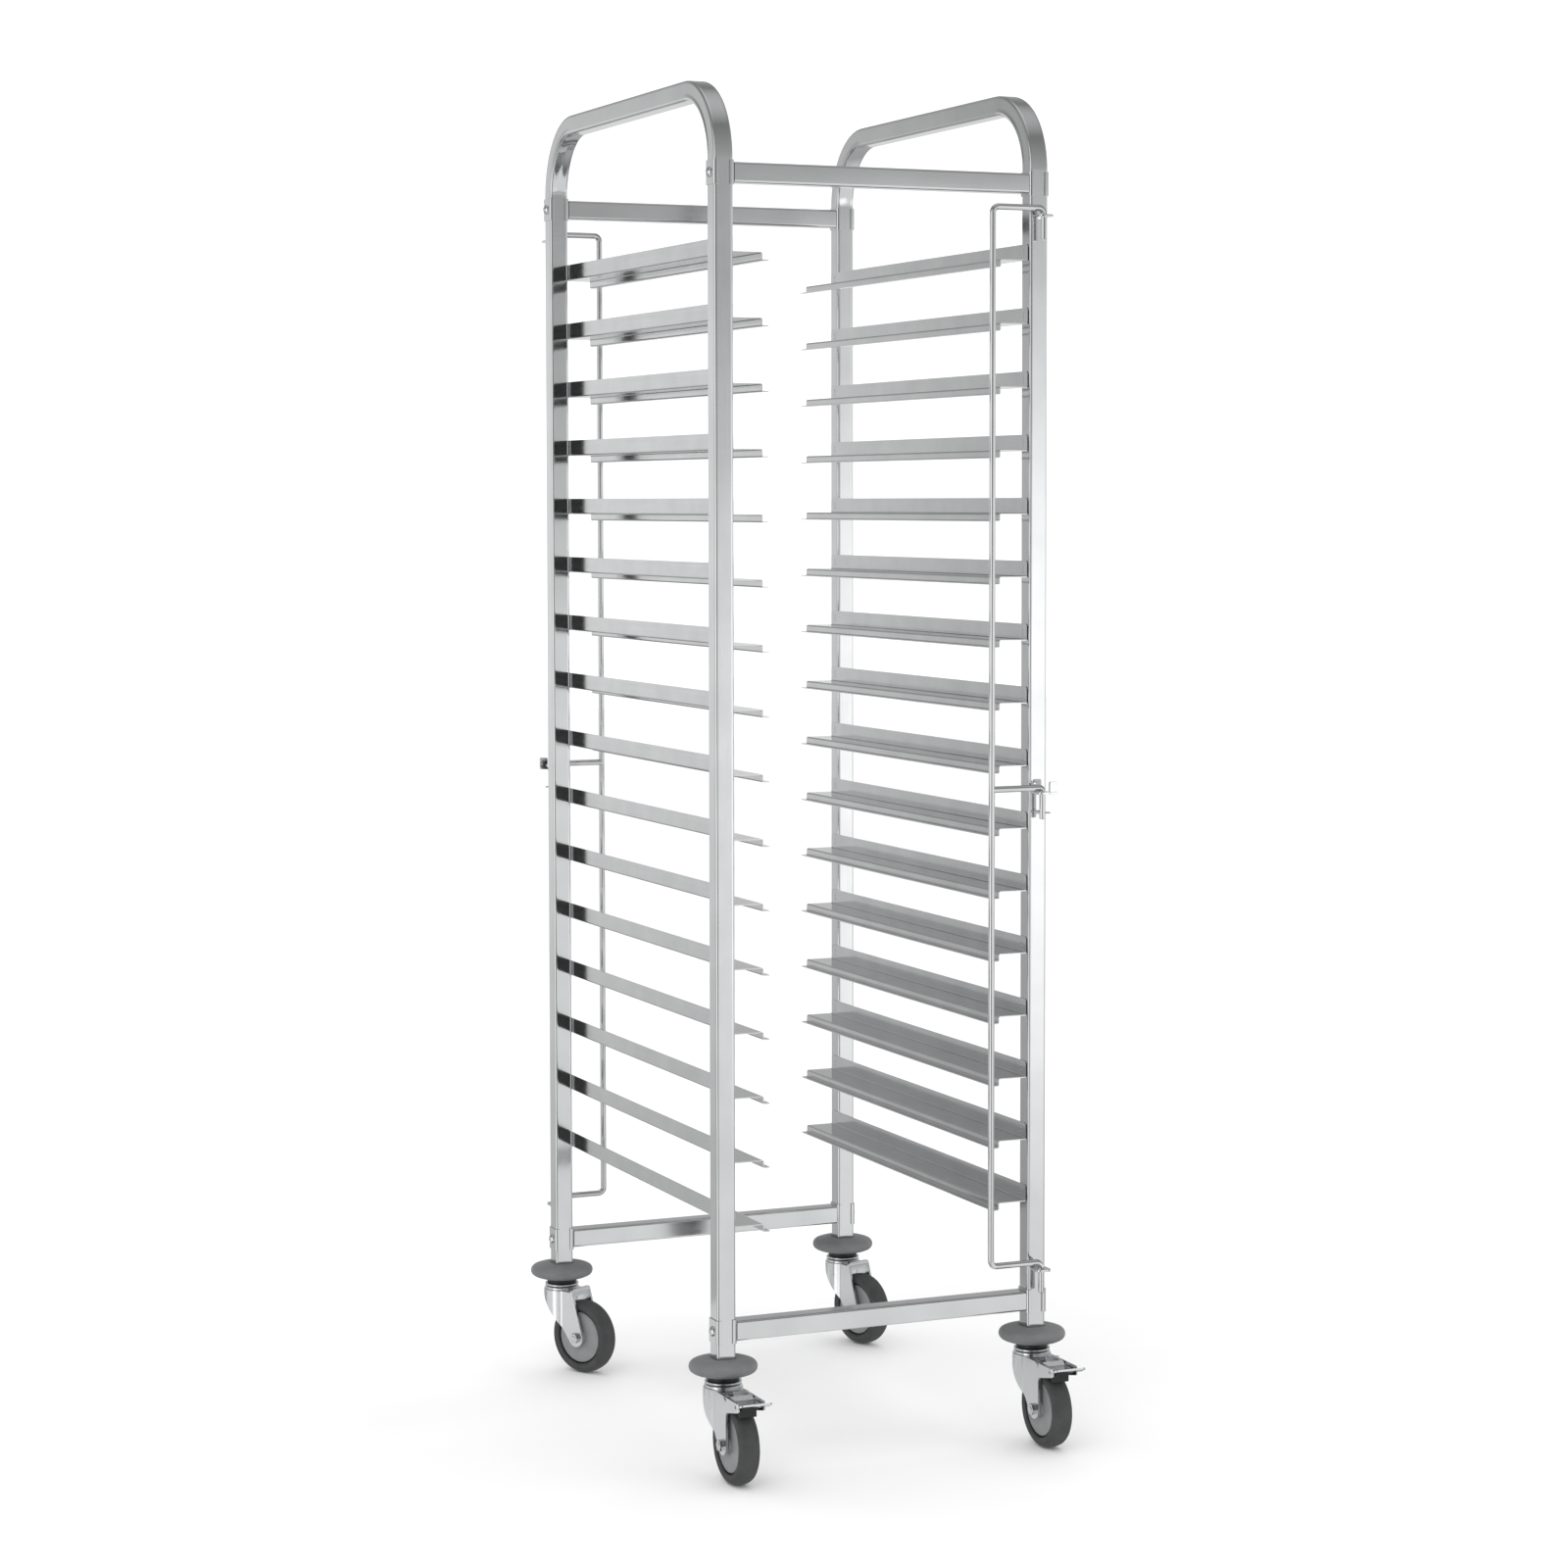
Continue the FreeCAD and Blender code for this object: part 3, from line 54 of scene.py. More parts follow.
# Cross rails, the saddles at their ends and the domed bolts through them.
RAIL_TOP_Z, RAIL_LOW_Z = 1607.5, 182.0
SADDLE_WALL, SADDLE_HEIGHT, SADDLE_WRAP, SADDLE_BEND = 1.6, 30.0, 5.0, 3.2
BOLT_HEAD_R, BOLT_SHANK_R, BOLT_LENGTH = 6.5, 3.0, 30.0
DOME_CENTRE, DOME_R, DOME_EDGE = -3.06, 7.56, 30.7

# Runners: flange on the posts, shelf, drop and lip, with two spot welds at each end.
RUNNER_WALL, RUNNER_BEND, FLANGE, SHELF, DROP, LIP = 1.2, 1.7, 21.0, 40.0, 9.0, 8.0
FIRST_LEVEL, PITCH, LEVELS = 1532.0, 80.0, 16
DEPTH, FLANGE_CORNER = 610.0, 4.0
WELD_Y, WELD_DROPS = 293.0, (7.5, 13.0)
WELD_DOME = ((0, -0.3), (1.2, -0.27), (1.7, -0.17), (2.0, 0.1))

# Lock bars, their cotters and their lugs.
ROD, ROD_BEND, ARM_BEND, ROD_END_SHARE, ROD_EASE = 8.0, 8.0, 4.5, 0.7, 1.0
LOCK_REACH, LOCK_Y, LOCK_RUNS = 72.0, 323.0, (1576.0, 844.0, 235.0)
PIN_LENGTH, PIN_PLAY, COTTER_DROP = 40.0, 0.1, 32.0
COTTER_SHANK = ((0, -9.0), (0.8, -9.0), (1.2, -8.6), (1.2, 5.2), (0, 5.2))
EYE_R, EYE_WIRE_R, EYE_X = 2.6, 0.9, 7.8
LUG_WALL, LUG_WIDTH, LUG_BACK, LUG_FRONT, LUG_CORNER, LUG_GAP = 3.0, 20.0, 13.0, 11.0, 6.0, 0.3
STOP_HEIGHT, STOP_REACH, STOP_WIDTH, STOP_CORNER, REST_WIDTH = 13.0, 16.0, 11.0, 2.0, 8.4
FOOT_CORNER, FOOT_INSET = 0.5, 0.02

# Bumpers, seals, stems and sleeves at the feet of the posts.
BUMPER_Z, BUMPER_R, BUMPER_THICK, BUMPER_FLOOR = 127.0, 43.0, 21.0, 8.0
RIM_R, UNDER_R, OVER_R, UNDER_START, OVER_END = 7.5, 39.38, 54.38, 22.0, 19.0
UNDER_MEETS, OVER_MEETS = -64.96, 69.38
SOCKET, SOCKET_EASE, STEM_BORE = 12.8, 0.8, 6.2
RACE_Z, RACE_R, RACE_HEIGHT = 117.0, 23.5, 3.5
KING_PIN = ((0, -11.5), (8.2, -11.5), (9.0, -10.7), (9.0, -8.0), (5.0, -8.0), (5.0, 0))
STEM = ((6.0, RACE_HEIGHT), (6.0, 49.8), (5.0, 51.0), (0, 51.0))
SEAL_R, SEAL_HEIGHT, SEAL_EASE = 20.0, 6.5, 0.8
SLEEVE_HEIGHT, SLEEVE_PLAY = 30.0, 0.2

# Casters: profiles are (radius, half width) from the wheel's middle.
AXLE_Z, TRAIL = 50.0, 42.0
TURNS = {"rear_left": 28.0, "rear_right": 16.0}
FORK_GAP, FORK_WIDTH = 32.0, 38.0
BRAKE_PIN_FORWARD, BRAKE_PIN_Z = 50.0, 108.5
HUB_HALF = (
    (6.1, 14.5), (9.2, 14.5), (10.0, 14.1), (10.9, 11.4), (11.5, 11.0), (33.4, 11.0), (34.4, 10.6),
    (35.0, 9.8), (35.0, 5.0), (37.0, 5.0),
)
TYRE_WALL = (
    (35.1, 5.2), (35.1, 5.6), (37.05, 6.2), (37.05, 11.6), (37.35, 12.1), (38.9, 13.1), (39.8, 13.45),
)
SHOULDER_CENTRE, SHOULDER_R, SHOULDER_END = (42.31, 7.0), 6.5, 16.9
CROWN_CENTRE, CROWN_R, CROWN_START = (15.92, 0.0), 34.08, 14
HEXAGON, HEXAGON_THICK = 13.0, 5.0
BOLT_TIP = ((4.0, 5.4), (3.4, 6.0), (0, 6.0))
BUSH_BORE, BUSH_R = 4.15, 6.0
PEDAL_PIN_HEAD = ((2.0, 0), (3.5, 0), (3.5, 0.9), (2.7, 1.5), (0, 1.5))

CORNERS = (("front_left", -1, -1), ("front_right", 1, -1), ("rear_left", -1, 1), ("rear_right", 1, 1))


def full_turn(steps):
    """Evenly spaced angles of one full turn."""
    return np.arange(steps) * 2 * np.pi / steps


def compass(angle):
    """The direction (cos, sin) of each angle."""
    return np.stack([np.cos(angle), np.sin(angle)], axis=-1)


def running(line):
    """The length along a line of points up to each of them: the sum of the steps before it."""
    return np.concatenate([[0], np.cumsum(np.linalg.norm(np.diff(line, axis=0), axis=1))])


def skin(grid, wrap_rows=False, wrap_columns=False):
    """Quads from each point of a grid to its neighbours along rows and columns, with the two distances along
    the grid as the map: the running length of the first column and of the longest row."""
    rows, columns = grid.shape[:2]
    index = np.arange(rows * columns).reshape(rows, columns)
    full = grid
    if wrap_rows:
        index, full = np.vstack([index, index[:1]]), np.concatenate([full, full[:1]])
    if wrap_columns:
        index, full = np.hstack([index, index[:, :1]]), np.concatenate([full, full[:, :1]], axis=1)
    longest = full[np.argmax(np.linalg.norm(np.diff(full, axis=1), axis=2).sum(axis=1))]
    chart = np.stack(np.meshgrid(running(full[:, 0]), running(longest), indexing="ij"), axis=-1)

    def corners(table):
        four = [table[:-1, :-1], table[:-1, 1:], table[1:, 1:], table[1:, :-1]]
        return np.stack(four, axis=2).reshape(-1, 4, *table.shape[2:])

    return grid.reshape(-1, 3), [corners(index)], corners(chart).reshape(-1, 2)


def joined(parts):
    """Several surfaces as one: points stacked, and each table of faces counted on from the points before it."""
    points, tables, charts = zip(*parts)
    base = np.concatenate([[0], np.cumsum([len(some) for some in points])])
    faces = [table + start for start, some in zip(base, tables) for table in some]
    return np.concatenate(points), faces, np.concatenate(charts)


def capped(grid):
    """A tube of points, columns round it, closed at its first and last row by flat faces."""
    points, faces, chart = skin(grid, wrap_columns=True)
    rows, columns = grid.shape[:2]
    ends = np.arange(columns) + np.array([[0], [(rows - 1) * columns]])
    return points, faces + [ends], np.concatenate([chart, np.zeros((2 * columns, 2))])


def rounded_box(width, height, radius, steps=6):
    """Outline of a rectangle whose corners are quarter circles: corner centre plus radius times (cos, sin)."""
    angle = np.arange(4)[:, None] * np.pi / 2 + np.linspace(0, np.pi / 2, steps + 1)
    signs = np.array([[1, 1], [-1, 1], [-1, -1], [1, -1]])[:, None]
    centre = signs * (np.array([width, height]) / 2 - radius)
    return (centre + radius * compass(angle)).reshape(-1, 2)


def walled_box(width, radius, cuts=14):
    """Outline of a square with quarter circles at its corners and evenly spaced points along its flat walls."""
    corners = rounded_box(width, width, radius).reshape(4, -1, 2)
    start, end = corners[:, -1:], np.roll(corners, -1, axis=0)[:, :1]
    walls = start + (end - start) * np.linspace(0, 1, cuts + 2)[None, 1:-1, None]
    return np.concatenate([corners, walls], axis=1).reshape(-1, 2)


def arc(centre, radius, start, end, steps):
    """Part of a circle in a profile: centre plus radius times (cos, sin), from one angle in degrees to another."""
    return np.asarray(centre) + radius * compass(np.radians(np.linspace(start, end, steps + 1)))


def bent_path(corners, radius, steps):
    """A line through corners that turns on an arc at each: start plus radius times (sin t along the way in,
    and 1 - cos t towards the way out). Gives the points and the direction at each."""
    corners = np.asarray(corners, float)
    ways = np.diff(corners, axis=0)
    ways = ways / np.linalg.norm(ways, axis=1)[:, None]
    points, heading = [corners[:1]], [ways[:1]]
    for before, after, corner in zip(ways[:-1], ways[1:], corners[1:-1]):
        turn = math.acos(np.clip(before @ after, -1, 1))
        side = (after - before * math.cos(turn)) / math.sin(turn)
        t = np.linspace(0, turn, steps + 1)[:, None]
        start = corner - before * radius * math.tan(turn / 2)
        points.append(start + radius * (np.sin(t) * before + (1 - np.cos(t)) * side))
        heading.append(np.cos(t) * before + np.sin(t) * side)
    points.append(corners[-1:])
    heading.append(ways[-1:])
    return np.concatenate(points), np.concatenate(heading)


def carried(profile, points, heading, across):
    """A profile carried along a flat path: point plus a times the path's normal plus b times the direction
    across the path's plane, for each (a, b) of the profile."""
    across = np.asarray(across, float)
    normal = np.cross(across, heading)
    return points[:, None] + profile[None, :, :1] * normal[:, None] + profile[None, :, 1:] * across


def turned(profile, steps):
    """A profile of (radius, height) turned about Z: radius times (cos, sin), and the height."""
    profile = np.asarray(profile, float)
    around = np.column_stack([compass(full_turn(steps)), np.zeros(steps)])
    return profile[:, None, :1] * around + profile[:, None, 1:] * np.array([0, 0, 1.0])


def turned_solid(profile, steps):
    """A profile from the axis out and back to the axis, turned to a solid."""
    return skin(turned(profile, steps), wrap_columns=True)


def turned_ring(profile, steps):
    """A profile closed on itself, turned to a ring."""
    return skin(turned(profile, steps), wrap_rows=True, wrap_columns=True)


def plate(outline, low, high):
    """A flat outline given thickness along Z: the same outline at two heights."""
    outline = np.asarray(outline, float)
    level = np.ones((len(outline), 1))
    return capped(np.stack([np.hstack([outline, level * low]), np.hstack([outline, level * high])]))


def holed_plate(reach, hole, low, high):
    """A plate round a bore: at each angle the points run from the bore out to the plate's edge, on both faces."""
    way = compass(full_turn(len(reach)))
    inner, outer = way * hole, way * reach[:, None]
    rows = [(inner, low), (outer, low), (outer, high), (inner, high)]
    grid = np.stack([np.column_stack([row, np.full(len(row), z)]) for row, z in rows])
    return skin(grid, wrap_rows=True, wrap_columns=True)


def folded_strip(corners, wall, radius, steps=6):
    """Outline of a strip of sheet bent at its corners: the bent middle line, half the wall to one side and back
    along half the wall to the other."""
    line, heading = bent_path(np.column_stack([corners, np.zeros(len(corners))]), radius, steps)
    normal = np.column_stack([-heading[:, 1], heading[:, 0]])
    return np.concatenate([line[:, :2] + normal * wall / 2, (line[:, :2] - normal * wall / 2)[::-1]])


def mirrored(half):
    """A profile of (radius, half width) carried on to the wheel's other side."""
    half = np.asarray(half, float)
    return np.concatenate([half, half[::-1] * (1, -1)])


def along_x(part):
    """A surface about Z laid down so that its axis runs along X."""
    points, faces, chart = part
    return points[:, [2, 0, 1]], faces, chart


def set_at(part, x=0.0, y=0.0, z=0.0, turn=0.0):
    """A surface turned about Z by an angle in degrees and then moved."""
    points, faces, chart = part
    c, n = math.cos(math.radians(turn)), math.sin(math.radians(turn))
    return points @ np.array([[c, n, 0], [-n, c, 0], [0, 0, 1]]) + np.array([x, y, z]), faces, chart


def finished(obj, sharp, bevel):
    """Rounds a piece's sharp edges if it has a bevel, and keeps its flat faces flat under smooth shading."""
    obj.data.shade_smooth()
    obj.data.set_sharp_from_angle(angle=math.radians(sharp))
    if bevel:
        edge = obj.modifiers.new("edges", "BEVEL")
        edge.width = bevel * MM
        edge.segments = 2
        edge.limit_method = "ANGLE"
        edge.angle_limit = math.radians(sharp)
        edge.harden_normals = False
    flat = obj.modifiers.new("flat_faces", "WEIGHTED_NORMAL")
    flat.keep_sharp = not bevel
    flat.weight = 100


def dressed(obj, finish, body, nodes):
    """Gives a piece its finish and its body, and hides the CAD nodes that it stands for."""
    material, slot = FINISHES[finish]
    obj.data.materials.append(material)
    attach(obj, body)
    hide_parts(*nodes)


def placed(name, mesh):
    """An object for a mesh, linked to the scene."""
    obj = bpy.data.objects.new(name, mesh)
    bpy.context.scene.collection.objects.link(obj)
    return obj


def piece(name, parts, finish, body, nodes, sharp=34, bevel=0.0):
    """Puts surfaces given in millimetres into one object that rides on a body and stands for CAD nodes."""
    points, faces, chart = joined(parts)
    mesh = bpy.data.meshes.new(name)
    mesh.from_pydata((points * MM).tolist(), [], [face for table in faces for face in table.tolist()])
    layer = mesh.uv_layers.new(name="lengths")
    layer.data.foreach_set("uv", (chart * MM).ravel())
    work = bmesh.new()
    work.from_mesh(mesh)
    bmesh.ops.remove_doubles(work, verts=work.verts, dist=MERGE)
    bmesh.ops.recalc_face_normals(work, faces=work.faces)
    work.to_mesh(mesh)
    work.free()
    obj = placed(name, mesh)
    finished(obj, sharp, bevel)
    dressed(obj, finish, body, nodes)


def pressed_copy(name, node, finish, body, sharp=30, bevel=0.5):
    """A merged copy of a pressed CAD piece, its flat faces made whole and its edges rounded."""
    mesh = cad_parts[node].data.copy()
    mesh.materials.clear()
    work = bmesh.new()
    work.from_mesh(mesh)
    bmesh.ops.remove_doubles(work, verts=work.verts, dist=MERGE)
    limit = math.radians(FLAT_ANGLE)
    bmesh.ops.dissolve_limit(work, angle_limit=limit, verts=work.verts, edges=work.edges)
    work.to_mesh(mesh)
    work.free()
    obj = placed(name, mesh)
    finished(obj, sharp, bevel)
    dressed(obj, finish, body, [node])


def colour(text):
    """A linear colour from an sRGB hex value."""
    channel = np.array([int(text[i:i + 2], 16) for i in (1, 3, 5)]) / 255
    linear = np.where(channel <= 0.04045, channel / 12.92, ((channel + 0.055) / 1.055) ** 2.4)
    return (*linear.tolist(), 1.0)


def add(tree, kind, inputs=(), stops=(), **settings):
    """Adds a node: its properties, the stops of its ramp as (place, colour), and its inputs as values or links."""
    made = tree.nodes.new("ShaderNode" + kind)
    for name, value in settings.items():
        setattr(made, name, value)
    for number, (place, tint) in enumerate(stops):
        stop = made.color_ramp.elements[number] if number < 2 else made.color_ramp.elements.new(place)
        stop.position = place
        stop.color = colour(tint)
    for socket, value in dict(inputs).items():
        if isinstance(value, bpy.types.NodeSocket):
            tree.links.new(value, made.inputs[socket])
        else:
            made.inputs[socket].default_value = value
    return made


def new_material(name):
    """An empty material and its tree."""
    material = bpy.data.materials.new(name)
    material.use_nodes = True
    material.node_tree.nodes.clear()
    return material, material.node_tree


NOISE_LOW, NOISE_HIGH = 0.3, 0.7    # most of a noise pattern lies between these


def metal(name, tones, rough, lines, cloud_mm, relief):
    """Bright metal: a mirror whose gloss changes along fine marks, given as their space along the piece's two
    map directions in millimetres, with a slow change of tone and a relief in millimetres under it."""
    material, tree = new_material(name)
    chart = add(tree, "UVMap", uv_map="lengths")
    place = add(tree, "TexCoord")
    spacing = (1000 / lines[0], 1000 / lines[1], 1.0)
    stretch = add(tree, "Mapping", {"Vector": chart.outputs["UV"], "Scale": spacing})
    marks = add(tree, "TexNoise", {"Vector": stretch.outputs["Vector"], "Scale": 1.0, "Detail": 3.0})
    cloud = add(tree, "TexNoise", {
        "Vector": place.outputs["Object"], "Scale": 1000 / cloud_mm, "Detail": 2.0,
    })
    tone = add(tree, "ValToRGB", {"Fac": cloud.outputs["Fac"]}, zip((NOISE_LOW, NOISE_HIGH), tones))
    gloss = add(tree, "MapRange", {
        "Value": marks.outputs["Fac"], "From Min": NOISE_LOW, "From Max": NOISE_HIGH,
        "To Min": rough[0], "To Max": rough[1],
    })
    bump = add(tree, "Bump", {"Height": marks.outputs["Fac"], "Strength": 0.05, "Distance": relief * MM})
    shader = add(tree, "BsdfPrincipled", {
        "Base Color": tone.outputs["Color"], "Metallic": 1.0, "Roughness": gloss.outputs["Result"],
        "Normal": bump.outputs["Normal"],
    })
    add(tree, "OutputMaterial", {"Surface": shader.outputs["BSDF"]})
    return material


def plated(name, tones, rough, crystal_mm, relief):
    """Plated steel: a mirror with the fine crystal of the plate in its tone and gloss, and the drawn sheet's
    faint orange peel, three crystals across, as relief in millimetres."""
    material, tree = new_material(name)
    place = add(tree, "TexCoord")
    crystal = add(tree, "TexNoise", {
        "Vector": place.outputs["Object"], "Scale": 1000 / crystal_mm, "Detail": 4.0,
    })
    peel = add(tree, "TexNoise", {
        "Vector": place.outputs["Object"], "Scale": 333 / crystal_mm, "Detail": 1.0,
    })
    tone = add(tree, "ValToRGB", {"Fac": crystal.outputs["Fac"]}, zip((NOISE_LOW, NOISE_HIGH), tones))
    gloss = add(tree, "MapRange", {
        "Value": crystal.outputs["Fac"], "From Min": NOISE_LOW, "From Max": NOISE_HIGH,
        "To Min": rough[0], "To Max": rough[1],
    })
    bump = add(tree, "Bump", {"Height": peel.outputs["Fac"], "Strength": 0.06, "Distance": relief * MM})
    shader = add(tree, "BsdfPrincipled", {
        "Base Color": tone.outputs["Color"], "Metallic": 1.0, "Roughness": gloss.outputs["Result"],
        "Normal": bump.outputs["Normal"],
    })
    add(tree, "OutputMaterial", {"Surface": shader.outputs["BSDF"]})
    return material


MOTTLE_MM, GLOSS_SWING = 18, 0.07    # how wide a plastic's mottling is, and how far its grain moves the gloss


def moulded(name, tones, rough, grain_mm, relief, ior=1.5):
    """Moulded plastic or rubber: an even colour with slow mottling from the melt, and the mould's spark-eroded
    grain as relief in millimetres and as a change of gloss."""
    material, tree = new_material(name)
    place = add(tree, "TexCoord")
    mottle = add(tree, "TexNoise", {
        "Vector": place.outputs["Object"], "Scale": 1000 / MOTTLE_MM, "Detail": 3.0,
    })
    grain = add(tree, "TexNoise", {
        "Vector": place.outputs["Object"], "Scale": 1000 / grain_mm, "Detail": 2.0,
    })
    tone = add(tree, "ValToRGB", {"Fac": mottle.outputs["Fac"]}, zip((NOISE_LOW, NOISE_HIGH), tones))
    gloss = add(tree, "MapRange", {
        "Value": grain.outputs["Fac"], "From Min": NOISE_LOW, "From Max": NOISE_HIGH,
        "To Min": rough - GLOSS_SWING, "To Max": rough + GLOSS_SWING,
    })
    bump = add(tree, "Bump", {"Height": grain.outputs["Fac"], "Strength": 0.25, "Distance": relief * MM})
    shader = add(tree, "BsdfPrincipled", {
        "Base Color": tone.outputs["Color"], "Roughness": gloss.outputs["Result"], "IOR": ior,
        "Normal": bump.outputs["Normal"],
    })
    add(tree, "OutputMaterial", {"Surface": shader.outputs["BSDF"]})
    return material


# Each finish and the name of its slot. Belt lines, roll lines, crystal and mould grain are drawn coarser than
# they are, so that they show.
FINISHES = {
    # Drawn stainless tube, mirror polished: clear reflections, a little drawn out along the tube by the belt's
    # lines.
    "tube": (
        metal("polished_stainless_tube", ("#D6D7D8", "#DEDFE0"), (0.07, 0.12), (120, 0.6), 60, 0.2),
        "polished_stainless",
    ),
    # Cold rolled stainless sheet: bright, with faint roll lines down the runner that blur reflections across it.
    "sheet": (
        metal("bright_rolled_stainless_sheet", ("#D2D3D4", "#DADBDC"), (0.10, 0.17), (200, 1.5), 50, 0.2),
        "stainless_sheet",
    ),
    # Pressed steel with bright zinc plate: a pale, slightly blue mirror with a fine cloudy crystal.
    "plated": (
        plated("bright_zinc_plated_pressing", ("#DEE0E2", "#EAECED"), (0.16, 0.25), 2.0, 0.4),
        "zinc_plated",
    ),
    # Turned and chromed steel: a hard bright mirror, only just broken by tumbling marks.
    "fastener": (
        plated("bright_chromed_fastener", ("#DADBDC", "#E6E7E8"), (0.07, 0.14), 0.5, 0.1),
        "bright_fastener",
    ),
    # Grey polypropylene with a fine satin mould grain: mid grey, broad soft highlights.
    "bumper": (moulded("grey_moulded_polypropylene", ("#6C6D6E", "#747576"), 0.46, 0.8, 0.05), "grey_bumper"),
    # Grey nylon hub, moulded against a polished tool: lighter and a little glossier than the bumper.
    "hub": (moulded("grey_moulded_nylon", ("#808182", "#8A8B8C"), 0.38, 0.6, 0.03), "grey_hub"),
    # Non-marking rubber: dark grey, dull, with a slightly coarser skin.
    "tyre": (moulded("grey_non_marking_rubber", ("#383939", "#424344"), 0.6, 1.2, 0.08, 1.52), "grey_tyre"),
    # Black polyamide for seals, sleeves and brake shoes: near black with a soft sheen.
    "black": (moulded("black_moulded_polyamide", ("#121314", "#1B1C1D"), 0.42, 0.7, 0.04), "black_plastic"),
}


def side_frames():
    """Each side: a hollow square section carried up one post, over the handle and down the other post. In the
    bends the side walls swell beside the inner corner, by a bell curve of the distance across the wall times the
    sine of the way through the bend, and the inner wall sinks by the square of the cosine across it."""
    top = HANDLE_TOP - TUBE / 2
    corners = [(0, FRONT_Y, POST_FOOT), (0, FRONT_Y, top), (0, REAR_Y, top), (0, REAR_Y, POST_FOOT)]
    points, heading = bent_path(corners, TUBE_BEND, 24)
    section = walled_box(TUBE, TUBE_CORNER)
    outer = carried(section, points, heading, (1, 0, 0))
    in_bend = 2 * np.abs(heading[:, 1] * heading[:, 2])
    bell = np.exp(-((section[:, 0] - SWELL_PLACE) / SWELL_SPREAD) ** 2)
    on_side = np.abs(section[:, 1]) > TUBE / 2 - ON_WALL
    swell = np.where(on_side, BEND_SWELL * bell * np.sign(section[:, 1]), 0)
    on_inside = section[:, 0] < ON_WALL - TUBE / 2
    sink = np.where(on_inside, BEND_SINK * np.cos(np.pi * section[:, 1] / TUBE) ** 2, 0)
    outer += in_bend[:, None, None] * swell[:, None] * np.array([1.0, 0, 0])
    outer += (in_bend[:, None] * sink)[:, :, None] * np.cross([1.0, 0, 0], heading)[:, None]
    bore = walled_box(TUBE - TUBE_WALL * 2, TUBE_CORNER - TUBE_WALL)
    inner = carried(bore, points, heading, (1, 0, 0))
    wall = [skin(outer, wrap_columns=True), skin(inner, wrap_columns=True)]
    rims = [skin(np.stack([outer[end], inner[end]]), wrap_columns=True) for end in (0, -1)]
    for name, side in (("left_side_frame", -1), ("right_side_frame", 1)):
        parts = [set_at(part, x=POST_X * side) for part in wall + rims]
        piece(f"{name}_tube", parts, "tube", "frame", [name])


def saddle(face_x, outward):
    """A plate on a post's face whose two edges turn round the post's corners: a bent strip carried up Z."""
    half = TUBE / 2 + SADDLE_WALL / 2
    back = face_x + outward * SADDLE_WALL / 2
    edge = face_x - outward * SADDLE_WRAP
    corners = np.array([(edge, half), (back, half), (back, -half), (edge, -half)])
    return plate(folded_strip(corners, SADDLE_WALL, SADDLE_BEND), -SADDLE_HEIGHT / 2, SADDLE_HEIGHT / 2)


def rails():
    """Cross rails: a square section between the posts, with a saddle at each end."""
    seat = INNER_X - SADDLE_WALL
    section = rounded_box(TUBE, TUBE, TUBE_CORNER)
    line = np.array([(-seat, 0, 0), (seat, 0, 0)], float)
    tube = capped(carried(section, line, np.array([(1.0, 0, 0)] * 2), (0, 0, 1)))
    cross = [tube, saddle(-INNER_X, 1), saddle(INNER_X, -1)]
    for end, y in (("front", FRONT_Y), ("rear", REAR_Y)):
        for height, z in (("top", RAIL_TOP_Z), ("bottom", RAIL_LOW_Z)):
            name = f"{end}_{height}_rail"
            parts = [set_at(part, 0, y, z) for part in cross]
            piece(f"{name}_tube", parts, "tube", "frame", [name], bevel=0.3)


def at_rail_ends(part):
    """A part for the left-hand side, repeated at the end of each rail with its back outwards."""
    return [
        set_at(part, OUTER_X * side, y, z, 0 if side < 0 else 180)
        for side in (-1, 1) for y in (FRONT_Y, REAR_Y) for z in (RAIL_TOP_Z, RAIL_LOW_Z)
    ]


def clamps():
    """Clamp plates on the posts' outer faces, and the domed bolt through each: a dome turned about X."""
    piece("clamp_plates", at_rail_ends(saddle(0, -1)), "tube", "frame", ["rail_clamp_plates"], bevel=0.3)
    dome = arc((0, DOME_CENTRE), DOME_R, 90, DOME_EDGE, 10)
    shank = [(BOLT_HEAD_R, 0), (BOLT_SHANK_R, 0), (BOLT_SHANK_R, -BOLT_LENGTH), (0, -BOLT_LENGTH)]
    bolt = along_x(turned_solid(np.concatenate([dome, shank]) * (1, -1), 32))
    piece("domed_bolts", at_rail_ends(set_at(bolt, -SADDLE_WALL)), "fastener", "frame", ["rail_bolts"])


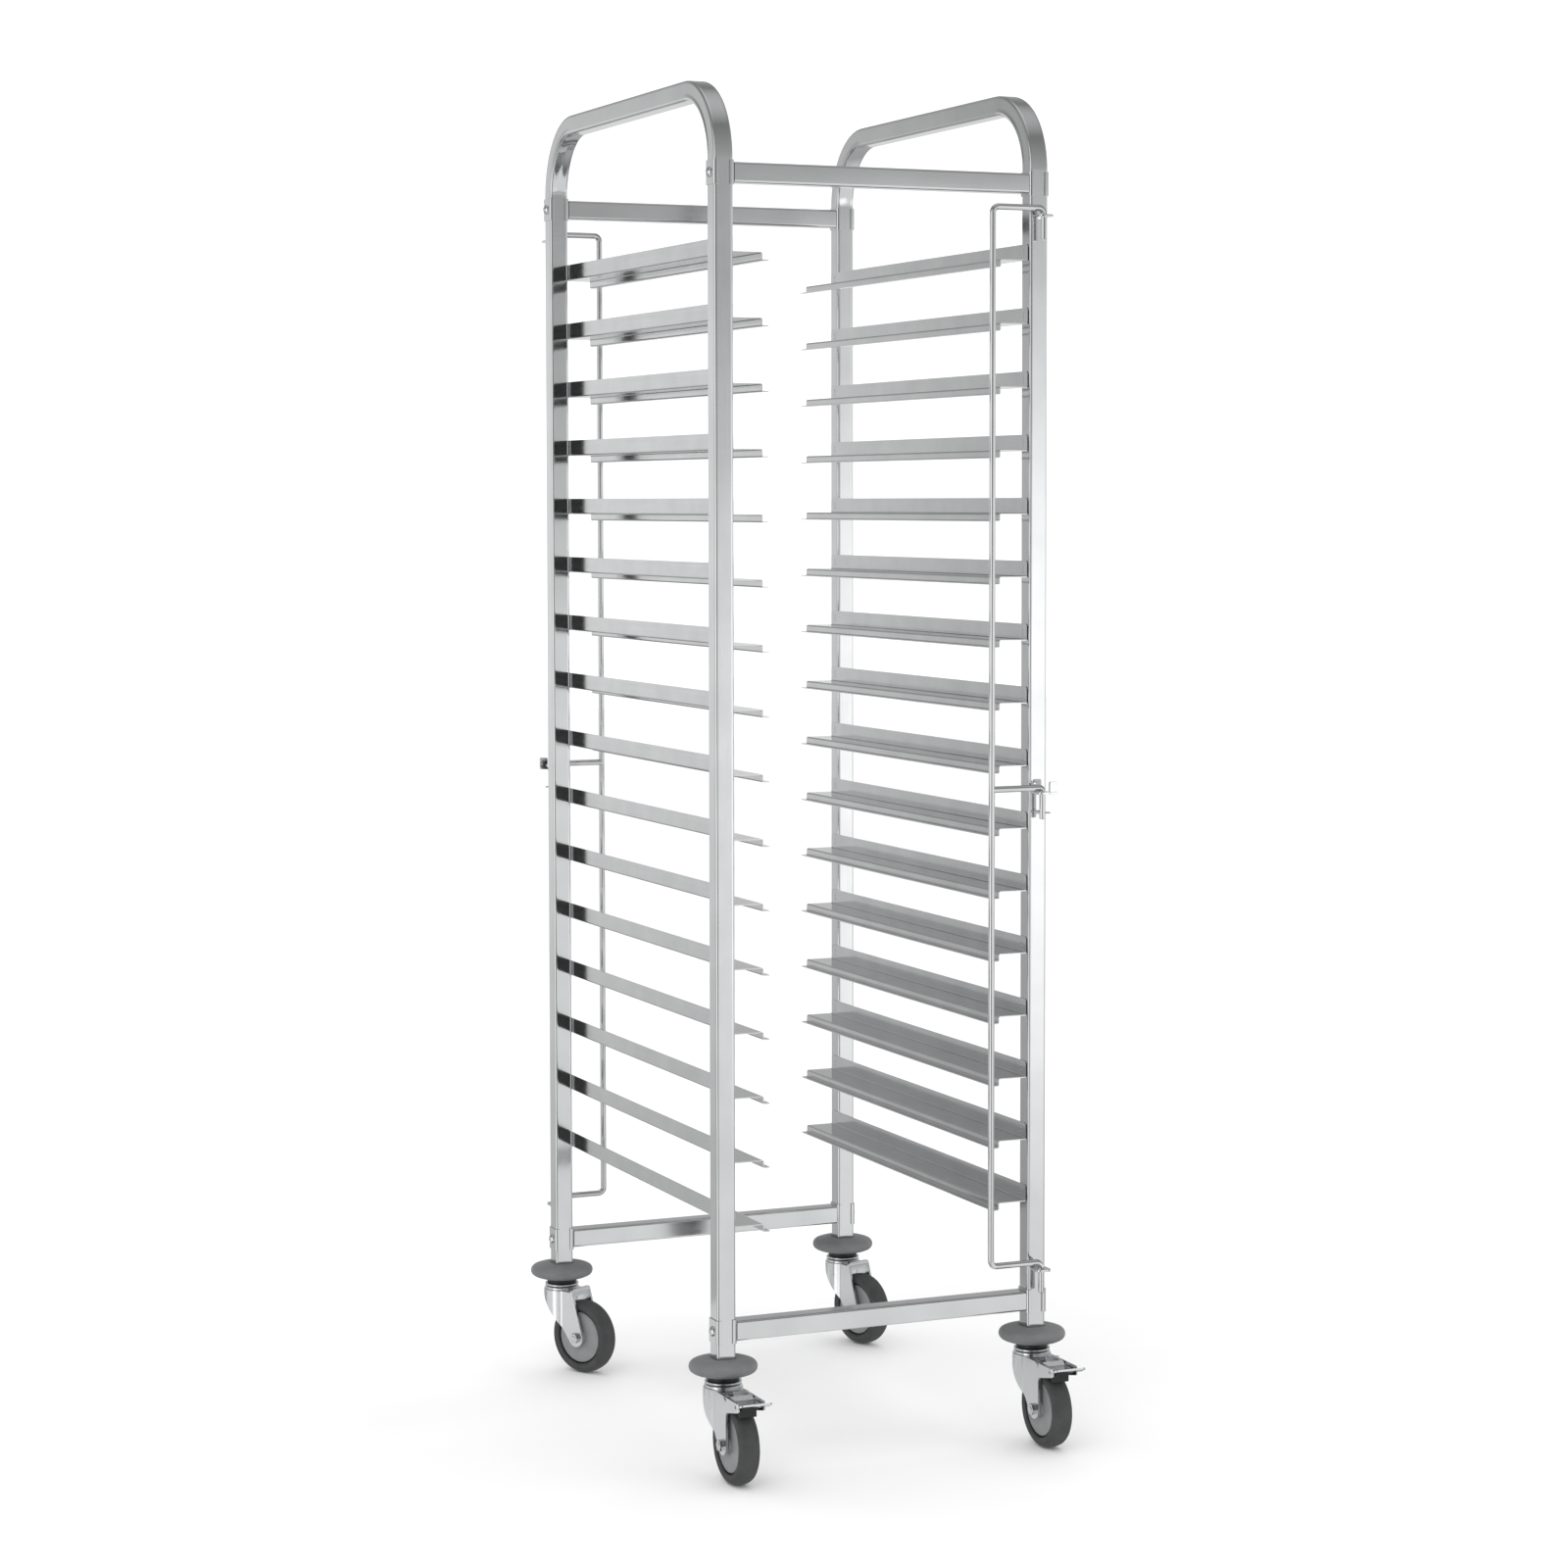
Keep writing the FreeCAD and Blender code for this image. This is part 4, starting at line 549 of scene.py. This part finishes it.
def runners():
    """Each level: a sheet folded to flange, shelf, drop and lip, carried from the front posts to the back ones.
    At its ends the flange's edge falls by radius times 1 - sin t over radius times 1 - cos t, and low domes on
    the flange are its spot welds."""
    middle = RUNNER_WALL / 2
    flange_x, drop_x, lip_x = INNER_X - middle, INNER_X - SHELF + middle, INNER_X - SHELF - LIP
    shelf_z, lip_z = -FLANGE + middle, -FLANGE - DROP + middle
    corners = [(flange_x, 0), (flange_x, shelf_z), (drop_x, shelf_z), (drop_x, lip_z), (lip_x, lip_z)]
    strip = folded_strip(np.array(corners), RUNNER_WALL, RUNNER_BEND)
    section = np.column_stack([strip[:, 0], np.zeros(len(strip)), strip[:, 1]])
    t = np.linspace(0, np.pi / 2, 7)
    near = DEPTH / 2 - FLANGE_CORNER * (1 - np.cos(t))
    fall = FLANGE_CORNER * (1 - np.sin(t))
    stations = np.concatenate([-near, near[::-1]])
    sheet = section[None] + stations[:, None, None] * np.array([0, 1.0, 0])
    sheet[:, [0, -1], 2] -= np.concatenate([fall, fall[::-1]])[:, None]
    dome = along_x(turned_solid(WELD_DOME, 20))
    welds = [
        set_at(dome, INNER_X - RUNNER_WALL, WELD_Y * end, -drop) for end in (-1, 1) for drop in WELD_DROPS
    ]
    runner = joined([capped(sheet)] + welds)
    for level in range(LEVELS):
        z = FIRST_LEVEL - PITCH * level
        pair = [set_at(runner, 0, MIDDLE_Y, z, turn) for turn in (0, 180)]
        name = f"runner_pair_{level + 1:02d}"
        piece(f"{name}_sheet", pair, "sheet", "frame", [name])


def rod_along(corners, bend):
    """A round rod along a bent path, its two ends eased to a smaller circle."""
    points, heading = bent_path(corners, bend, 14)
    body = carried(ROD / 2 * compass(full_turn(24)), points, heading, (0, 1, 0))
    ends = []
    for end, inwards in ((0, ROD_EASE), (-1, -ROD_EASE)):
        ends.append(points[end] + (body[end] - points[end]) * ROD_END_SHARE)
        body[end] += heading[end] * inwards
    return capped(np.concatenate([ends[0][None], body, ends[1][None]]))


def cotter():
    """A split pin: a straight wire through the rod and a ring of the same wire as its eye."""
    shank = along_x(turned_solid(COTTER_SHANK, 16))
    eye = turned_ring((EYE_R, 0) + EYE_WIRE_R * compass(full_turn(12)), 32)
    return [shank, set_at(eye, EYE_X)]


def leaf(width, height):
    """Outline of a plate that stands on its lower edge: the upper half of a rounded box, and its two feet."""
    box = rounded_box(width, height * 2, STOP_CORNER)
    return np.concatenate([box[:len(box) // 2], [(-width / 2, 0), (width / 2, 0)]])


def upturned_edges(top):
    """The two upturned edges of a middle lug, one at the arm's front, on a foot beside the lug, and one at the
    arm's back: upright leaves, the second turned to stand across the first."""
    side, stop_x = LUG_WIDTH / 2, STOP_REACH - STOP_WIDTH / 2
    outline = rounded_box(STOP_WIDTH, LUG_WALL * 2, FOOT_CORNER, 2)
    foot = plate(outline, top - LUG_WALL + FOOT_INSET, top - FOOT_INSET)
    front = plate(leaf(STOP_WIDTH, STOP_HEIGHT), -LUG_FRONT, LUG_WALL - LUG_FRONT)
    back = plate(leaf(REST_WIDTH, STOP_HEIGHT), -side, LUG_WALL - side)
    return [
        set_at(foot, stop_x, LUG_WALL - LUG_FRONT),
        set_at((front[0][:, [0, 2, 1]], *front[1:]), x=stop_x, z=top),
        set_at((back[0][:, [2, 0, 1]], *back[1:]), y=LUG_BACK - REST_WIDTH / 2, z=top),
    ]


def lug(run_z, stopped):
    """A lug with rounded outer corners round its pin; at each angle its edge is the nearer of the straight side
    and the corner's circle. A middle lug also has its upturned edges."""
    c, n = compass(full_turn(96)).T
    depth = np.where(n < 0, LUG_FRONT, LUG_BACK)
    box = np.minimum(LUG_WIDTH / 2 / np.maximum(np.abs(c), 1e-9), depth / np.maximum(np.abs(n), 1e-9))
    corner = np.array([LUG_WIDTH / 2 - LUG_CORNER, LUG_FRONT - LUG_CORNER])
    across = np.abs(c) * corner[0] + np.abs(n) * corner[1]
    rounded = across + np.sqrt(np.maximum(across ** 2 - corner @ corner + LUG_CORNER ** 2, 0))
    in_corner = (np.abs(c) * box > corner[0]) & (np.abs(n) * box > corner[1]) & (n < 0)
    reach = np.where(in_corner, np.minimum(rounded, box), box)
    top = run_z - LUG_GAP - (ARM_BEND if stopped else ROD_BEND)
    flat = holed_plate(reach, ROD / 2 + PIN_PLAY, top - LUG_WALL, top)
    return [flat] + (upturned_edges(top) if stopped else [])


def lock_bars():
    """Gates of bent rod, one at each end, with a cotter in the middle pin and three lugs on the post."""
    top, middle, low = LOCK_RUNS
    gate = [
        (0, 0, top - PIN_LENGTH), (0, 0, top), (-LOCK_REACH, 0, top), (-LOCK_REACH, 0, low), (0, 0, low),
        (0, 0, low - PIN_LENGTH),
    ]
    arm = [(0, 0, middle - PIN_LENGTH), (0, 0, middle), (-LOCK_REACH, 0, middle)]
    rods = [rod_along(gate, ROD_BEND), rod_along(arm, ARM_BEND)]
    lugs = []
    for end, sign, turn in (("front", 1, 0), ("rear", -1, 180)):
        x, y = POST_X * sign, MIDDLE_Y - LOCK_Y * sign
        bar = [set_at(rod, x, y, 0, turn) for rod in rods]
        piece(f"{end}_lock_rod", bar, "tube", f"{end}_lock", [f"{end}_lock_bar"])
        pin = [set_at(part, x, y, middle - COTTER_DROP, turn) for part in cotter()]
        piece(f"{end}_lock_cotter", pin, "fastener", f"{end}_lock", [f"{end}_lock_clip"])
        for run_z in LOCK_RUNS:
            lugs += [set_at(part, x, y, 0, turn) for part in lug(run_z, run_z == middle)]
    piece("lock_lugs", lugs, "tube", "frame", ["lock_bar_lugs"], bevel=0.25)


def posts():
    """The four posts: corner name, end, and where the post's axis stands."""
    return [(name, end, POST_X * side, FRONT_Y if end < 0 else REAR_Y) for name, side, end in CORNERS]


def bumper():
    """A lens turned about the post: a flat arc below, the rim's arc and a flat arc above, each tangent to the
    next, closed inwards by a square socket, whose radius is half its width over the larger of cos and sin."""
    low = arc((UNDER_START, UNDER_R), UNDER_R, -90, UNDER_MEETS, 12)
    rim = arc((BUMPER_R - RIM_R, BUMPER_THICK / 2), RIM_R, UNDER_MEETS, OVER_MEETS, 18)
    high = arc((OVER_END, BUMPER_THICK - OVER_R), OVER_R, OVER_MEETS, 90, 12)
    around = compass(full_turn(96))
    lens = turned(np.concatenate([[(STEM_BORE, 0.0)], low, rim[1:-1], high]), len(around))
    square = SOCKET / np.abs(around).max(axis=1)
    edges = [
        (square + SOCKET_EASE, BUMPER_THICK), (square, BUMPER_THICK - SOCKET_EASE), (square, BUMPER_FLOOR),
        (np.full(len(around), STEM_BORE), BUMPER_FLOOR),
    ]
    socket = np.stack([np.column_stack([around * r[:, None], np.full(len(r), z)]) for r, z in edges])
    return set_at(skin(np.concatenate([lens, socket]), wrap_rows=True, wrap_columns=True), z=BUMPER_Z)


def stem_and_race():
    """King pin, race with a rounded rim, and the stem up into the post, all turned."""
    half = RACE_HEIGHT / 2
    rim = arc((RACE_R - half, half), half, -90, 90, 10)
    return set_at(turned_solid(np.concatenate([KING_PIN, rim, STEM]), 64), z=RACE_Z)


def feet():
    """Bumpers, dust seals, stems and the sleeves that hold them in the posts."""
    side = SEAL_R - SEAL_EASE
    seal = np.concatenate([
        [(STEM_BORE, 0)], arc((side, SEAL_EASE), SEAL_EASE, -90, 0, 4),
        arc((side, SEAL_HEIGHT - SEAL_EASE), SEAL_EASE, 0, 90, 4), [(STEM_BORE, SEAL_HEIGHT)],
    ])
    seal_ring = set_at(turned_ring(seal, 64), z=RACE_Z + RACE_HEIGHT)
    half = TUBE / 2 - TUBE_WALL - SLEEVE_PLAY
    reach = half / np.abs(compass(full_turn(64))).max(axis=1)
    sleeve = holed_plate(reach, STEM_BORE, POST_FOOT, POST_FOOT + SLEEVE_HEIGHT)
    shapes = (
        ("bumper_lenses", bumper(), "bumper", "bumper_discs", 34),
        ("dust_rings", seal_ring, "black", "dust_seals", 34),
        ("stems_and_races", stem_and_race(), "plated", "swivel_stems", 40),
        ("sleeves", sleeve, "black", "stem_sleeves", 34),
    )
    for name, shape, finish, node, sharp in shapes:
        piece(name, [set_at(shape, x, y) for _, _, x, y in posts()], finish, "frame", [node], sharp)


def hub():
    """The hub turned about X: boss, flat face, and a deep groove between that face and the tyre."""
    return along_x(turned_ring(mirrored(HUB_HALF), 96))


def tyre():
    """The tyre turned about X: a bead in the hub's groove, and straight walls that round over to a crowned tread,
    each an arc in the profile."""
    shoulder = arc(SHOULDER_CENTRE, SHOULDER_R, 90, SHOULDER_END, 10)
    crown = arc(CROWN_CENTRE, CROWN_R, CROWN_START, 0, 6)
    half = np.concatenate([TYRE_WALL, shoulder, crown])
    profile = np.concatenate([half, half[-2::-1] * (1, -1)])
    return along_x(turned_ring(profile, 128))


def axle():
    """The wheel's bolt along X: hexagon head and nut on a plain shank with eased tips."""
    hexagon = HEXAGON / math.sqrt(3) * compass(full_turn(6))
    face = FORK_WIDTH / 2
    heads = [plate(hexagon, face, face + HEXAGON_THICK), plate(hexagon, -face - HEXAGON_THICK, -face)]
    tip = np.array(BOLT_TIP) + (0, face)
    shank = np.concatenate([tip[::-1] * (1, -1), tip])
    return [along_x(part) for part in heads + [turned_solid(shank, 32)]]


def bush():
    """The sleeve between the legs that the hub turns on."""
    half = FORK_GAP / 2
    return along_x(turned_ring([(BUSH_BORE, -half), (BUSH_R, -half), (BUSH_R, half), (BUSH_BORE, half)], 48))


def pedal_pin():
    """A pin along X with a low round head outside each brake arm."""
    half = np.array(PEDAL_PIN_HEAD) + (0, FORK_WIDTH / 2)
    return along_x(turned_solid(np.concatenate([half[::-1] * (1, -1), half]), 32))


def casters():
    """Fork, axle, bush, hub and tyre at each corner, and the brake on the front ones."""
    for name, end, x, y in posts():
        turn = TURNS.get(name, 0.0)
        a = math.radians(turn)
        place = (x + TRAIL * math.sin(a), y - TRAIL * math.cos(a), AXLE_Z, turn)
        swivel, wheel = f"{name}_caster", f"{name}_wheel"
        pressed_copy(f"{name}_fork_pressing", f"{name}_fork", "plated", swivel, bevel=0.6)
        bolt = [set_at(part, *place) for part in axle()]
        piece(f"{name}_axle_bolt", bolt, "fastener", swivel, [f"{name}_axle"], bevel=0.4)
        piece(f"{name}_bush_sleeve", [set_at(bush(), *place)], "plated", swivel, [f"{name}_bush"])
        piece(f"{name}_hub_moulding", [set_at(hub(), *place)], "hub", wheel, [f"{name}_hub"], bevel=0.3)
        piece(f"{name}_tyre_ring", [set_at(tyre(), *place)], "tyre", wheel, [f"{name}_tyre"], sharp=50)
        if end < 0:
            brake = f"{name}_brake"
            pressed_copy(f"{name}_pedal_pressing", f"{name}_brake_pedal", "plated", brake)
            pressed_copy(f"{name}_shoe_moulding", f"{name}_brake_shoe", "black", brake)
            pin = set_at(pedal_pin(), x, y - BRAKE_PIN_FORWARD, BRAKE_PIN_Z)
            piece(f"{name}_pedal_pin", [pin], "fastener", swivel, [f"{name}_brake_pin"])


side_frames()
rails()
clamps()
runners()
lock_bars()
feet()
casters()

# The studio, in metres. Cards are (centre, the way they face, width, height).
FLOOR = ((0, 0, 0), (0, 0, 1), 30.0, 30.0)
FLAG = ((-0.9, -2.1, 0.65), (0.39, 0.92, 0), 0.85, 2.5)
# Paper sheets beside the casters: x, y, width, length, and how high they lie.
SHEETS = (
    (-0.425, -0.09, 0.35, 0.42), (0.01, -0.09, 0.36, 0.42), (-0.575, 0.425, 0.55, 0.35),
    (-0.04, 0.56, 0.28, 0.28),
)
SHEET_Z = 0.0005
# The room's zones: the part of the direction along an axis, and where the zone begins and is full.
ZONES = {
    "height": ("Z", -0.3, 0.7), "zenith": ("Z", 0.75, 1.0), "behind": ("Y", -0.3, 0.3),
    "forward": ("Y", -0.12, -0.2), "across": ("X", -1.0, 1.0), "window": ("X", 0.385, 0.405),
    "aside": ("X", 0.55, 0.72), "leftmost": ("X", -0.80, -0.86),
}
# The walls' greys, of 80, 60 and 45 percent, and the white of the window.
PALE_GREY, MIDDLE_GREY, DIM_GREY, WINDOW_WHITE = "#CCCCCC", "#999999", "#737373", "#FFFFFF"
# Each wall from low to high, along the height zone, whose horizon is at 0.3.
WALLS = {
    "front": ((0.25, PALE_GREY), (0.35, MIDDLE_GREY), (1.0, DIM_GREY)),
    "front_window": (
        (0.1, PALE_GREY), (0.18, WINDOW_WHITE), (0.28, WINDOW_WHITE), (0.4, MIDDLE_GREY), (1.0, DIM_GREY),
    ),
    "back": ((0.05, MIDDLE_GREY), (0.25, PALE_GREY), (0.35, PALE_GREY), (0.45, MIDDLE_GREY), (1.0, DIM_GREY)),
}
# How much of the left wall a curtain covers, along the zone across.
CURTAIN = (
    (0.18, "#000000"), (0.20, "#FFFFFF"), (0.22, "#FFFFFF"), (0.24, "#C8C8C8"), (0.27, "#C8C8C8"),
    (0.31, "#000000"),
)
CURTAIN_GREY, SOFTBOX_WHITE, CEILING_GREY = "#6C6C6C", "#FFFFFF", "#B8B8B8"
ROOM_STRENGTH, WHITE_STRENGTH = 1.45, 1.15
SHARE, UNDER, OVER, MIXED = 0, 6, 7, 2    # the sockets of a colour mix
# Lamps: name, place, watts and width, all aimed at the trolley's middle.
LAMPS = (
    ("key", (-2.2, -2.6, 3.4), 20.0, 2.2),
    ("fill", (2.8, -2.4, 2.6), 10.0, 2.6),
    ("back", (0.6, 3.0, 3.6), 12.0, 2.4),
)
LAMP_AIM = (0, 0, 0.8)
SENSOR, LENS, LENS_SHIFT = 36.0, 80.108, -0.05
CAMERA_PLACE, CAMERA_TURN = (-1.8308, -4.2229, 1.2072), (90 - 3.340, 0.090, -23.243)


def card(name, centre, facing, width, height, material):
    """A flat card of the studio: a rectangle square to the way that it faces."""
    facing = np.asarray(facing, float) / np.linalg.norm(facing)
    level = abs(facing[2]) > 0.99
    across = np.array([1.0, 0, 0]) if level else np.cross([0, 0, 1.0], facing)
    across = across / np.linalg.norm(across)
    up = np.cross(facing, across)
    signs = np.array([(-1, -1), (1, -1), (1, 1), (-1, 1)]) / 2
    points = np.asarray(centre) + signs[:, :1] * width * across + signs[:, 1:] * height * up
    mesh = bpy.data.meshes.new(name)
    mesh.from_pydata(points.tolist(), [], [(0, 1, 2, 3)])
    mesh.materials.append(material)
    obj = placed(name, mesh)
    return obj


def dull(name, tones, cloud_mm, rough):
    """Paint, cloth or paper of the studio: one tone with a barely seen cloudiness, and no gloss to speak of."""
    material, tree = new_material(name)
    place = add(tree, "TexCoord")
    cloud = add(tree, "TexNoise", {
        "Vector": place.outputs["Object"], "Scale": 1000 / cloud_mm, "Detail": 2.0,
    })
    tone = add(tree, "ValToRGB", {"Fac": cloud.outputs["Fac"]}, zip((NOISE_LOW, NOISE_HIGH), tones))
    shader = add(tree, "BsdfPrincipled", {"Base Color": tone.outputs["Color"], "Roughness": rough})
    add(tree, "OutputMaterial", {"Surface": shader.outputs["BSDF"]})
    return material


def studio_cards():
    """The floor, and what only polished steel sees: a black flag by the camera and pale sheets on the floor."""
    # White emulsion paint: flat and even.
    paint = dull("pale_painted_floor", ("#F4F4F4", "#F8F8F8"), 400, 0.9)
    # Black felt: takes the light that falls on it, and gives the tubes' corners their dark edges.
    felt = dull("black_felt", ("#1C1C1C", "#242424"), 10, 1.0)
    # Pale grey paper: lights the forks from below.
    paper = dull("pale_grey_paper", ("#D2D2D2", "#D8D8D8"), 60, 0.9)
    floor = card("floor", *FLOOR, paint)
    floor.visible_glossy = False
    cards = [card("flag", *FLAG, felt)]
    for number, (x, y, width, length) in enumerate(SHEETS):
        cards.append(card(f"floor_sheet_{number + 1}", (x, y, SHEET_Z), (0, 0, 1), width, length, paper))
    for part in cards:
        part.visible_camera = False
        part.visible_shadow = False
        part.visible_diffuse = False


def studio_room():
    """White all round for the camera and for the light, and for polished steel a grey room: walls in three greys by
    height, a window at the front right, a curtain and a soft box at the left, and a pale ceiling."""
    world = bpy.data.worlds.new("studio_walls")
    bpy.context.scene.world = world
    world.use_nodes = True
    tree = world.node_tree
    tree.nodes.clear()
    path = add(tree, "LightPath")
    way = add(tree, "TexCoord")
    split = add(tree, "SeparateXYZ", {"Vector": way.outputs["Generated"]})
    zone = {}
    for name, (axis, begin, full) in ZONES.items():
        span = {"Value": split.outputs[axis], "From Min": begin, "From Max": full}
        zone[name] = add(tree, "MapRange", span).outputs["Result"]
    tone = {"curtain": colour(CURTAIN_GREY), "softbox": colour(SOFTBOX_WHITE), "ceiling": colour(CEILING_GREY)}
    for name, stops in WALLS.items():
        tone[name] = add(tree, "ValToRGB", {"Fac": zone["height"]}, stops).outputs["Color"]
    hanging = add(tree, "ValToRGB", {"Fac": zone["across"]}, CURTAIN).outputs["Color"]
    lit = add(tree, "Math", {0: zone["leftmost"], 1: zone["forward"]}, operation="MULTIPLY").outputs["Value"]
    mixes = (
        ("lit_front", zone["window"], "front", "front_window"),
        ("ends", zone["behind"], "lit_front", "back"),
        ("walls", zone["aside"], "ends", "back"),
        ("with_curtain", hanging, "walls", "curtain"),
        ("with_softbox", lit, "with_curtain", "softbox"),
        ("room", zone["zenith"], "with_softbox", "ceiling"),
    )
    for name, share, under, over in mixes:
        inputs = {SHARE: share, UNDER: tone[under], OVER: tone[over]}
        tone[name] = add(tree, "Mix", inputs, data_type="RGBA").outputs[MIXED]
    room = add(tree, "Background", {"Color": tone["room"], "Strength": ROOM_STRENGTH})
    white = add(tree, "Background", {"Color": colour("#FFFFFF"), "Strength": WHITE_STRENGTH})
    seen = {0: path.outputs["Is Glossy Ray"], 1: white.outputs[0], 2: room.outputs[0]}
    add(tree, "OutputWorld", {"Surface": add(tree, "MixShader", seen).outputs[0]})


def studio_lamps():
    """Three broad soft lamps, each turned so that its light falls along the line to the trolley's middle."""
    for name, place, power, size in LAMPS:
        lamp = bpy.data.lights.new(name, "AREA")
        lamp.energy = power
        lamp.size = size
        obj = placed(name, lamp)
        obj.location = place
        obj.visible_glossy = False
        x, y, z = np.array(place) - np.array(LAMP_AIM)
        obj.rotation_euler = (math.acos(z / np.linalg.norm((x, y, z))), 0, math.atan2(y, x) + math.pi / 2)


def camera():
    """The photograph's view: a long lens a little over a metre up, turned 23 degrees off the front."""
    lens = bpy.data.cameras.new("camera")
    lens.sensor_fit = "HORIZONTAL"
    lens.sensor_width = SENSOR
    lens.lens = LENS
    lens.shift_y = LENS_SHIFT
    obj = placed("camera", lens)
    obj.location = CAMERA_PLACE
    obj.rotation_euler = [math.radians(angle) for angle in CAMERA_TURN]
    bpy.context.scene.camera = obj


studio_cards()
studio_room()
studio_lamps()
camera()
bpy.context.scene.view_settings.view_transform = "Standard"
